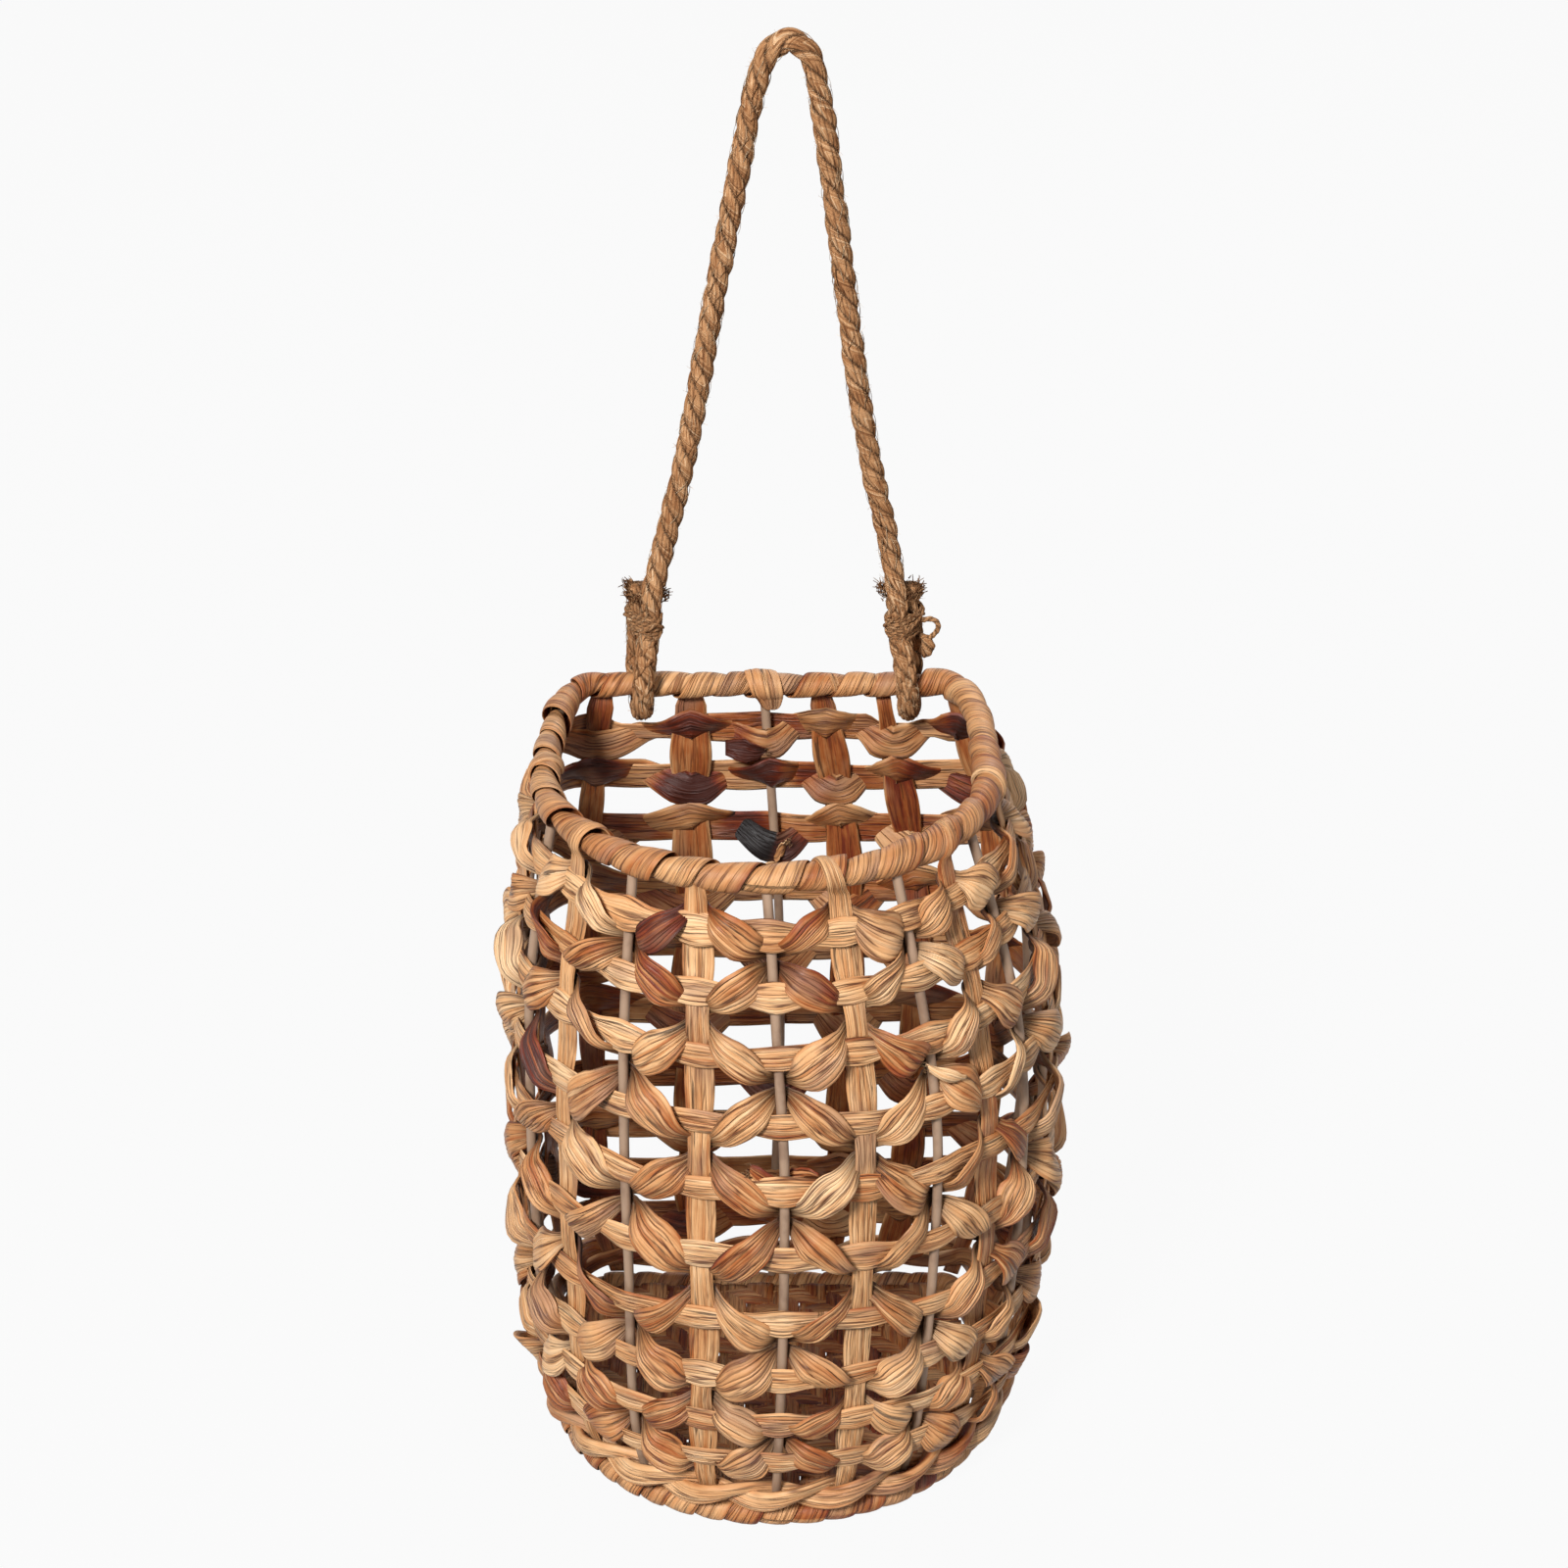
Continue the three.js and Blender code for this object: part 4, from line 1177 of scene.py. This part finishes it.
petalShape = {
    "width": (16.3 * mm, 23.1 * mm),
    "fullSpan": 24 * mm,
    "backWidth": (10.5 * mm, 12.5 * mm),
    "backUprights": (9, 15),
    "wireCrossing": (4.6 * mm, 6.4 * mm),
    "stakeCrossing": (6.5 * mm, 11.0 * mm),
    "backCrossing": (15.5 * mm, 18.0 * mm),
    "wireTip": 2.6 * mm,
    "stakeTip": 5.5 * mm,
    "thick": 2.1 * mm,
    "behindWire": -3.9 * mm,
    "behindStake": -2.6 * mm,
    "out": (4.6 * mm, 7.6 * mm),
    "backOut": (4.0 * mm, 5.0 * mm),
    "rise": (0.03, 0.33),
    "backRise": (0.08, 0.46),
    "peak": (-0.08, 0.16),
    "fullness": (0.8, 1.15),
    "crown": (0.2 * mm, 1.8 * mm),
    "hollow": -0.5 * mm,
    "belly": 2.4 * mm,
    "roll": 0.6,
    "slip": 0.6,
    "shadow": 0.9,
    "hem": (-1.8 * mm, 1.26 * mm),
    "backShare": 0.3,
    "curl": 0.4,
    "crossApart": 0.45,
    "crossUneven": 1 * mm,
    "straight": 0.5,
    "backStraight": 0.15,
    "toneFade": 0.16,
    "steps": 20,
    "tones": (0.28, 0.14, 0.04, 0.64),
    "lowerDarker": 0.014,
    "darkShare": 0.12,
    "darkShift": (0.1, 0.22),
    "leaf": {"folds": 10, "foldDepth": 1.2 * mm, "ridge": 0.3 * mm, "deep": 0.45},
}


def makePetalWeaver(index, level, look):
    rng = np.random.default_rng(200 + index)
    wireSide, stakeSide = (level + 1, level - 1) if level % 4 == 1 else (level - 1, level + 1)
    toWire = math.copysign(1, levelDrops[wireSide] - levelDrops[stakeSide])
    kinds = ["wire" if isWire(p) else "stake" for p in range(uprights)]
    backFirst, backLast = look["backUprights"]
    crossing = np.array([rng.uniform(*look[kind + "Crossing"]) for kind in kinds])
    crossing[backFirst:backLast + 1] = rng.uniform(*look["backCrossing"], backLast + 1 - backFirst)
    crossDrop = []
    for p in range(uprights):
        # at a crossing two weavers lie one above the other
        side, away = (wireSide, -toWire) if p % 2 == 0 else (stakeSide, toWire)
        crossDrop.append(levelDrops[side] + away * crossing[p] * look["crossApart"])
        crossDrop[-1] += rng.uniform(-1, 1) * look["crossUneven"]
    hidden = [look["behind" + kind.capitalize()] for kind in kinds]
    middle, spread, lightest, darkest = look["tones"]
    tones = np.clip(rng.normal(middle + look["lowerDarker"] * index, spread, uprights), lightest, darkest)
    tones[rng.random(uprights) < look["darkShare"]] += rng.uniform(*look["darkShift"])
    t = np.arange(look["steps"]) / look["steps"]
    arch = np.sin(math.pi * t)
    spans = []
    for p in range(uprights):
        q = (p + 1) % uprights
        atBack = backFirst <= p < backLast
        share = look["backShare"] if atBack else 1.0
        straight = look["backStraight" if atBack else "straight"]
        start, end = (look[kinds[at] + "Tip"] / spanLength(p) for at in (p, q))
        leaf = np.clip((t - start) / (1 - start - end), 0, 1)
        peak = 0.5 + (1 if isWire(p) else -1) * rng.uniform(*look["peak"])
        leaf = np.where(leaf < peak, leaf / peak, (1 - leaf) / (1 - peak))
        leaf = np.sin(math.pi / 2 * leaf) ** rng.uniform(*look["fullness"])
        cross = crossing[p] + (crossing[q] - crossing[p]) * ease(t)
        wide = rng.uniform(*look["backWidth" if atBack else "width"])
        wide = wide * min(1.0, spanLength(p) / look["fullSpan"])
        reach = rng.uniform(*look["backOut" if atBack else "out"])
        riseFrom, riseOver = look["backRise" if atBack else "rise"]
        rise = ease((np.minimum(t, 1 - t) - riseFrom) / riseOver)
        climb = crossDrop[q] - crossDrop[p]
        slip = -math.copysign(look["slip"], climb) if atBack else 0.0
        back = np.where(t < 0.5, hidden[p], hidden[q])
        twist = rng.uniform(-1, 1, 2) * look["roll"] * share
        drop = crossDrop[p] + climb * (straight * t + (1 - straight) * ease(t))
        drop = drop + rng.uniform(-1, 1) * look["belly"] * arch
        tone = tones[p] + (tones[p - 1] - tones[p]) * 0.5 * (1 - ease(t / look["toneFade"]))
        tone = tone + (tones[q] - tones[p]) * 0.5 * (1 - ease((1 - t) / look["toneFade"]))
        crown = look["hollow"] + (rng.uniform(*look["crown"]) * share - look["hollow"]) * leaf
        hem = rng.uniform(*look["hem"]) * leaf * (0.0 if atBack else 1.0)
        roll = arch * (twist[0] + (twist[1] + slip) * np.cos(math.pi * t))
        spans.append((
            p + t, drop, back + (reach - back) * rise, cross + (wide - cross) * leaf, roll, tone,
            look["thick"] * (0.8 + 0.3 * leaf), crown, hem, look["shadow"] * (1 - rise) * share,
        ))
    place, drop, outward, width, roll, tone, thick, crown, hem, shadow = np.concatenate(spans, axis=1)
    tone, stain = markLeaf("petals", index, place, tone)
    at, along, down, out = wallFrame(place, drop)
    centre = at + out * outward[:, None]
    across, up = rolledLoop(centre, out, roll)
    bundle = Bundle()
    leafStrip(bundle, rng, centre, across, up, width, thick, tone, stain, crown=crown,
              curl=crown * look["curl"], hem=hem, shadow=shadow, closed=True, **look["leaf"])
    tearLeaf(bundle, rng, "petals", index, tearShape)
    bundle.piece(f"petalWeaver{index + 1}", "leaf_weave", [f"petal_weaver_{index + 1}"])


for index, level in enumerate(bandLevels):
    makePetalWeaver(index, level, petalShape)
print("petals made")

# Stakes: flat leaves that hook over the bound rim and swing past each weaver

stakeShape = {
    "hookOver": 6.9 * mm,
    "hookUnder": 4.4 * mm,
    "boundIn": (7, 8, 9, 10, 11, 13, 14, 15, 16, 21),
    "hookAngles": (3.5, -0.7),
    "hookSteps": 22,
    "hookWidth": 8.0 * mm,
    "hookEnd": 4 * mm,
    "hookSlant": 9 * mm,
    "slantShare": (0.65, 1),
    "narrowed": {10: 7.5 * mm},
    "narrowedShift": -0.035,
    "narrowedReach": 40 * mm,
    "firstDrop": 9 * mm,
    "lastRise": 7 * mm,
    "lastWidth": 8 * mm,
    "topSwing": 2.6 * mm,
    "swing": 1.3 * mm,
    "hookTaper": 0.7,
    # how many swings down the wall, and how far each goes
    "sway": (7, 0.025),
    "uneven": (16, 0.6 * mm),
    "toneWander": (12, 0.09),
    "thick": 1.6 * mm,
    "frontWidth": (12.0 * mm, 15.5 * mm),
    "backWidths": {9: 12.5 * mm, 10: 16.5 * mm, 11: 17.5 * mm, 13: 20.5 * mm, 14: 12.5 * mm},
    "crossShare": 0.72,
    "perLevel": 5,
    "tone": 0.32,
    "backTone": 0.36,
    "toneShift": (-0.06, 0.08),
    "back": range(8, 15),
    "leaf": {"folds": 11, "foldDepth": 0.6 * mm, "ridge": 0.12 * mm, "crown": 0.5 * mm, "deep": 0.3},
}


def between(x, xs, ys):
    i = np.clip(np.searchsorted(xs, x) - 1, 0, len(xs) - 2)
    xs, ys = np.asarray(xs), np.asarray(ys)
    return ys[i] + (ys[i + 1] - ys[i]) * ease((x - xs[i]) / (xs[i + 1] - xs[i]))


def makeStake(number, place, look):
    rng = np.random.default_rng(300 + number)
    wide = look["backWidths"].get(place, rng.uniform(*look["frontWidth"]))
    angle = np.linspace(*look["hookAngles"], look["hookSteps"])
    slant = rng.choice((-1, 1)) * rng.uniform(*look["slantShare"]) * look["hookSlant"]
    slant = slant * np.linspace(1, 0, len(angle))
    levels = range(0, len(levelDrops), 2)
    crossing = [level % 4 == (2 if place % 2 == 0 else 0) for level in levels]
    first, last = look["firstDrop"], wallHeight - look["lastRise"]
    drops = [first - look["hookEnd"], *(levelDrops[level] for level in levels), last]
    narrow, swing = wide * look["crossShare"], look["swing"]
    widths = [look["hookWidth"], *(narrow if c else wide for c in crossing), look["lastWidth"]]
    swings = [look["topSwing"], *(swing if c else -swing for c in crossing), 0.0]
    shift = 0.0
    if place in look["narrowed"]:
        # the rope's loop passes close by this one
        slant = slant * 0
        widths[:2] = [look["narrowed"][place]] * 2
        shift = look["narrowedShift"]
    top, along, down, out = wallFrame(place, 0.0)
    radial = outAt(angle, flattened(out), upward)
    turn = look["hookUnder"] if place in look["boundIn"] else look["hookOver"]
    hook = wallPoint(place + shift, 0.0) + radial * turn + along * slant[:, None]
    drop = np.linspace(first, last, look["perLevel"] * len(levels) * 2)
    sway = wander(rng, len(drop), *look["sway"]) + shift * (1 - ease(drop / look["narrowedReach"]))
    at, wallAlong, down, wallOut = wallFrame(place + sway, drop)
    centre = np.vstack([hook, at + wallOut * between(drop, drops, swings)[:, None]])
    across = np.vstack([np.broadcast_to(along, hook.shape), wallAlong])
    width = np.r_[np.linspace(look["hookTaper"], 1.0, len(angle)) * widths[0], between(drop, drops, widths)]
    width = width + wander(rng, len(width), *look["uneven"])
    tone = look["backTone" if place in look["back"] else "tone"] + rng.uniform(*look["toneShift"])
    tone = tone + wander(rng, len(width), *look["toneWander"])
    bundle = Bundle()
    up = np.vstack([radial, wallOut])
    leafStrip(bundle, rng, centre, across, up, width, look["thick"], tone, **look["leaf"])
    bundle.piece(f"leafStake{number}", "leaf_stake", [f"leaf_stake_{number}"])


for number, place in enumerate((p for p in range(uprights) if not isWire(p)), 1):
    makeStake(number, place, stakeShape)
print("stakes made")

# Rim and foot binding: one long leaf wound round the ring, each turn lapping over the last

bindings = {
    "rimWrap": {"node": "rim_wrap", "drop": 0.0, "pitch": (14 * mm, 24 * mm), "seed": 401},
    "footWrap": {"node": "foot_wrap", "drop": wallHeight, "pitch": (12 * mm, 18 * mm), "seed": 402},
}
bindingShape = {
    "radius": 4.3 * mm,
    "lap": 1.22,
    "steps": 30,
    "ringSteps": 2200,
    "thick": 1.0 * mm,
    "tilt": 0.12,
    "swell": 0.45 * mm,
    "footSwell": 0.4,
    "knot": 1.5 * mm,
    "knotSizes": (0.5, 1.0),
    "knotReach": 0.2,
    "stakeKnot": 0.7,
    "frontExtra": 0.8 * mm,
    "frontFade": 60 * mm,
    "corners": (9, 15),
    "cornerReach": 0.45,
    "cornerExtra": 1.0 * mm,
    "tone": 0.43,
    "toneWander": 0.15,
    "darkTurns": 0.05,
    "darkShift": 0.25,
    "leaf": {
        "folds": 4,
        "foldDepth": 0.25 * mm,
        "ridge": 0.08 * mm,
        "crown": 0.7 * mm,
        "deep": 0.3,
        "streak": 0.06,
    },
}
knotShape = {
    "place": 12,
    "radius": 6.5 * mm,
    "angles": (4.0, -0.75),
    "turnShare": 0.75,
    "hang": 6.5 * mm,
    "out": 2.0 * mm,
    "aside": 3.5 * mm,
    "width": 16 * mm,
    "end": 4.5 * mm,
    "thick": 1.2 * mm,
    "tone": 0.4,
    "steps": 34,
    "leaf": {"folds": 6, "foldDepth": 0.5 * mm, "ridge": 0.2 * mm, "crown": 0.4 * mm, "deep": 0.3},
}


def makeKnot(bundle, rng, look):
    # a crossed turn at the middle of the back, drawn down onto the wire
    t = np.linspace(0, 1, look["steps"])
    first, last = look["angles"]
    angle = first + (last - first) * np.clip(t / look["turnShare"], 0, 1)
    top, along, down, out = wallFrame(look["place"], 0.0)
    radial = outAt(angle, -flattened(out), upward)
    fallen = ease((t - look["turnShare"]) / (1 - look["turnShare"]))[:, None]
    centre = top + radial * look["radius"] - upward * look["hang"] * fallen
    centre = centre + flattened(out) * look["out"] * fallen
    centre = centre + along * look["aside"] * np.cos(math.pi * t)[:, None]
    width = np.sin(math.pi * np.clip(t * 0.92 + 0.04, 0, 1)) ** 0.8
    width = look["end"] + (look["width"] - look["end"]) * width
    across = np.broadcast_to(along, centre.shape)
    leafStrip(bundle, rng, centre, across, radial, width, look["thick"], look["tone"], **look["leaf"])


def bentRound(verts, ring, steps, outward):
    # from a straight ring along x to the basket's own ring
    at, side = (eachWay(verts[:, 0] % steps[-1], steps, p) for p in (ring, outward))
    return at + flattened(side) * verts[:, 1:2] + upward * verts[:, 2:3]


def rimSwell(rng, swell, onPlace, look):
    # thicker at the uprights, the back's corners and the front, and plain where the rope lies
    nearest = np.round(onPlace).astype(int)
    at = wallPoint(onPlace, 0.0)
    inBack = ease(at[:, 1] / look["frontFade"])
    knots = rng.uniform(*look["knotSizes"], uprights)[nearest % uprights]
    lump = look["knot"] * np.where([isWire(p) for p in nearest], knots, look["stakeKnot"])
    lump = lump * (0.8 + 0.2 * inBack) * np.exp(-(((onPlace - nearest) / look["knotReach"]) ** 2))
    for corner in look["corners"]:
        lump = lump + look["cornerExtra"] * np.exp(-(((onPlace - corner) / look["cornerReach"]) ** 2))
    return (swell + lump) * (1 - besideRope(at)) + look["frontExtra"] * (1 - inBack)


def makeBinding(name, own, look):
    rng = np.random.default_rng(own["seed"])
    atFoot = own["drop"] > 0
    place = np.linspace(0, uprights, look["ringSteps"])
    ring, along, down, out = wallFrame(place, own["drop"])
    steps = runAlong(ring)
    pitches = []
    while sum(pitches) < steps[-1]:
        pitches.append(rng.uniform(*own["pitch"]))
    pitches = np.array(pitches) * steps[-1] / sum(pitches)
    turns = len(pitches)
    tau = np.arange(turns * look["steps"]) / look["steps"]
    where = np.interp(tau, np.arange(turns + 1), np.r_[0, np.cumsum(pitches)])
    pitch = smoothValue(np.r_[pitches, pitches[0]], tau / turns)
    radial = outAt(fullTurn * tau, np.array([0, 1.0, 0]), upward)
    swell = wander(rng, len(tau), turns * 2, look["swell"], True)
    if atFoot:
        swell = swell * look["footSwell"]
    else:
        swell = rimSwell(rng, swell, np.interp(where, steps, place), look)
    centre = radial * (look["radius"] + swell)[:, None]
    centre[:, 0] = where
    across = np.broadcast_to(np.array([1.0, 0, 0]), radial.shape)
    across, lifted = rolled(across, radial, look["tilt"])
    tone = look["tone"] + wander(rng, len(tau), turns, look["toneWander"], True)
    dark = rng.random(turns)[tau.astype(int)] < look["darkTurns"]
    tone = tone + look["darkShift"] * dark
    bundle = Bundle()
    leafStrip(bundle, rng, centre, across, lifted, pitch * look["lap"], look["thick"], tone, closed=True,
              **look["leaf"])
    bundle.verts[0] = bentRound(bundle.verts[0], ring, steps, out)
    if atFoot:
        # worn flat where it stands
        bundle.verts[0][:, 2] = np.maximum(bundle.verts[0][:, 2], 0.0)
    else:
        makeKnot(bundle, rng, knotShape)
    bundle.piece(name, "leaf_binding", [own["node"]])


for name, own in bindings.items():
    makeBinding(name, own, bindingShape)
print("bindings made")

# Border: two thick strands twined round each other above the foot

borderShape = {
    "share": 0.952,
    "rise": 3.6 * mm,
    "swing": 4.2 * mm,
    "out": 1.2 * mm,
    "roll": 0.35,
    "width": 12.5 * mm,
    "widthShares": (0.86, 0.2),
    # how many swings round the basket, and how far each goes
    "sag": (22, 0.8 * mm),
    "rollWander": (22, 0.2),
    "uneven": (30, 1.0 * mm),
    "toneWander": (22, 0.16),
    "thick": 5.0 * mm,
    "steps": 14,
    "tone": 0.36,
    "leaf": {"folds": 7, "foldDepth": 0.8 * mm, "ridge": 0.4 * mm, "crown": 0.8 * mm},
}


def makeBorderStrand(number, side, look):
    rng = np.random.default_rng(500 + side)
    count = uprights * look["steps"]
    place = np.arange(count) / look["steps"] + (1 if side == 1 else 0)
    angle = math.pi * place
    drop = look["share"] * wallHeight - side * look["rise"] * np.sin(angle)
    drop = drop + wander(rng, count, *look["sag"], True)
    at, along, down, out = wallFrame(place, drop)
    centre = at + out * (side * look["swing"] * np.cos(angle) + look["out"])[:, None]
    roll = look["roll"] * side * np.sin(angle) + wander(rng, count, *look["rollWander"], True)
    across, up = rolledLoop(centre, out, roll)
    least, more = look["widthShares"]
    width = look["width"] * (least + more * np.cos(angle) * side)
    width = width + wander(rng, count, *look["uneven"], True)
    tone = look["tone"] + wander(rng, count, *look["toneWander"], True)
    bundle = Bundle()
    leafStrip(bundle, rng, centre, across, up, width, look["thick"], tone, closed=True, **look["leaf"])
    bundle.piece(f"borderStrand{number}", "leaf_binding", [f"border_strand_{number}"])


for number, side in ((1, 1), (2, -1)):
    makeBorderStrand(number, side, borderShape)
print("border made")

# Base: wires across the foot ring, and a plain woven mat on them

baseShape = {
    "runs": [(0.25, 11.25), (2.25, 10.25), (20.25, 13.25), (5.25, 17.25), (7.25, 15.25)],
    "wireRadius": wireShape["radius"] * 0.93,
    "wireEnds": (0.02, 0.98),
    "wireSteps": 24,
    "strip": 13 * mm,
    "pressed": 1.03,
    "gap": 13.6 * mm,
    "perGap": 6,
    "fewestPoints": 9,
    "insetShare": 7 / 90,
    "weave": 0.8 * mm,
    "uneven": 0.5 * mm,
    "thick": 1.2 * mm,
    # the mat's tones run darker than the walls': partly the leaf's own colour, partly painted shade for the
    # shaded floor inside; matShade brings in the stain colour as painted shade
    "tones": (0.36, 0.7),
    "matShade": (0.3, 0.42),
    "leaf": {"folds": 4, "foldDepth": 0.3 * mm, "ridge": 0.15 * mm, "crown": 0.2 * mm},
}


def makeBaseWires(look):
    bundle = Bundle()
    for run in look["runs"]:
        first, last = wallPoint(np.array(run), wallHeight)
        points = first + (last - first) * np.linspace(*look["wireEnds"], look["wireSteps"])[:, None]
        roundTube(bundle, points, look["wireRadius"], wireShape["corners"])
    bundle.piece("baseWires", "wire_paint", ["base_wires"])


def makeBaseMat(look):
    rng = np.random.default_rng(601)
    bundle = Bundle()
    low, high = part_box("base_mat")
    edge = wallPoint(np.linspace(0, uprights, 400), wallHeight)[:, :2]
    edge = edge.mean(0) + (edge - edge.mean(0)) * (1 - look["insetShare"])
    for axis in (0, 1):
        other = 1 - axis
        for number, at in enumerate(np.arange(low[axis] + look["strip"] / 2, high[axis], look["gap"])):
            ends = edge[np.nonzero(np.diff(np.sign(edge[:, axis] - at)))[0], other]
            if len(ends) < 2:
                continue
            run = np.arange(ends.min(), ends.max(), look["gap"] / look["perGap"])
            if len(run) < look["fewestPoints"]:
                continue
            points = np.zeros((len(run), 3))
            points[:, axis] = at + wander(rng, len(run), 6, look["uneven"])
            points[:, other] = run
            wave = np.cos(math.pi * (run - low[other]) / look["gap"] + math.pi * (number + axis))
            points[:, 2] = (low.z + high.z) / 2 + look["weave"] * wave
            across = np.zeros((len(run), 3))
            across[:, axis] = 1 if axis == 0 else -1
            up = np.broadcast_to(upward, across.shape)
            leafStrip(bundle, rng, points, across, up, look["strip"] * look["pressed"], look["thick"],
                      rng.uniform(*look["tones"]), rng.uniform(*look["matShade"]), **look["leaf"])
    bundle.piece("baseMat", "leaf_stake", ["base_mat"])


makeBaseWires(baseShape)
makeBaseMat(baseShape)
print("base made")

# Stage: a white floor and white surroundings, and soft light from the front

stageLook = {
    "floor": 0.22,
    "floorGlow": 0.94,
    "floorReach": 40.0,
    "floorDrop": 0.5 * mm,
    "seenAir": 0.965,
    "worldLight": 0.026,
    "lamps": [
        {"name": "keyLamp", "at": (-1.0, -2.3, 2.3), "size": 0.7, "power": 141.0},
        {"name": "fillLamp", "at": (1.9, -1.8, 1.2), "size": 1.8, "power": 15.0},
        {"name": "backLamp", "at": (0.5, 2.2, 2.0), "size": 1.4, "power": 32.0},
    ],
    "aim": (0.0, 0.0, 0.3),
}
white = (1, 1, 1, 1)


def seenAs(finish, share, bright, output):
    # what the camera sees glows, and the light on the object stays as it is
    plain = Value(finish, finish.shader.outputs[0])
    mixed = finish.node("ShaderNodeMixShader", None, {0: share, 1: plain, 2: bright})
    finish.join(finish.tree.nodes[output].inputs["Surface"], mixed)


def makeFloor(look):
    mesh = bpy.data.meshes.new("floor")
    far = look["floorReach"]
    mesh.from_pydata([(-far, -far, 0), (far, -far, 0), (far, far, 0), (-far, far, 0)], [], [(0, 1, 2, 3)])
    finish = Finish(bpy.data.materials.new("floorWhite"))
    finish.coloured((look["floor"],) * 3 + (1.0,), 0.9)
    glow = finish.node("ShaderNodeEmission", None, {"Color": white, "Strength": 1.0})
    seenAs(finish, finish.seenRay() * look["floorGlow"], glow, "Material Output")
    mesh.materials.append(finish.material)
    placed("floor", mesh, (0, 0, -look["floorDrop"]))


def makeAir(look):
    world = bpy.data.worlds.new("studio")
    bpy.context.scene.world = world
    air = Finish(world, "Background")
    air.join(air.shader.inputs["Color"], white)
    air.join(air.shader.inputs["Strength"], look["worldLight"])
    bright = air.node("ShaderNodeBackground", None, {"Color": white, "Strength": look["seenAir"]})
    seenAs(air, air.seenRay(), bright, "World Output")


def makeLamps(look):
    for lamp in look["lamps"]:
        data = bpy.data.lights.new(lamp["name"], "AREA")
        data.shape = "DISK"
        data.size = lamp["size"]
        data.energy = lamp["power"]
        aimed(placed(lamp["name"], data, lamp["at"]), look["aim"])


makeFloor(stageLook)
makeAir(stageLook)
makeLamps(stageLook)
print("stage made")


def plain(bounds):
    return [[float(v) for v in corner] for corner in bounds]
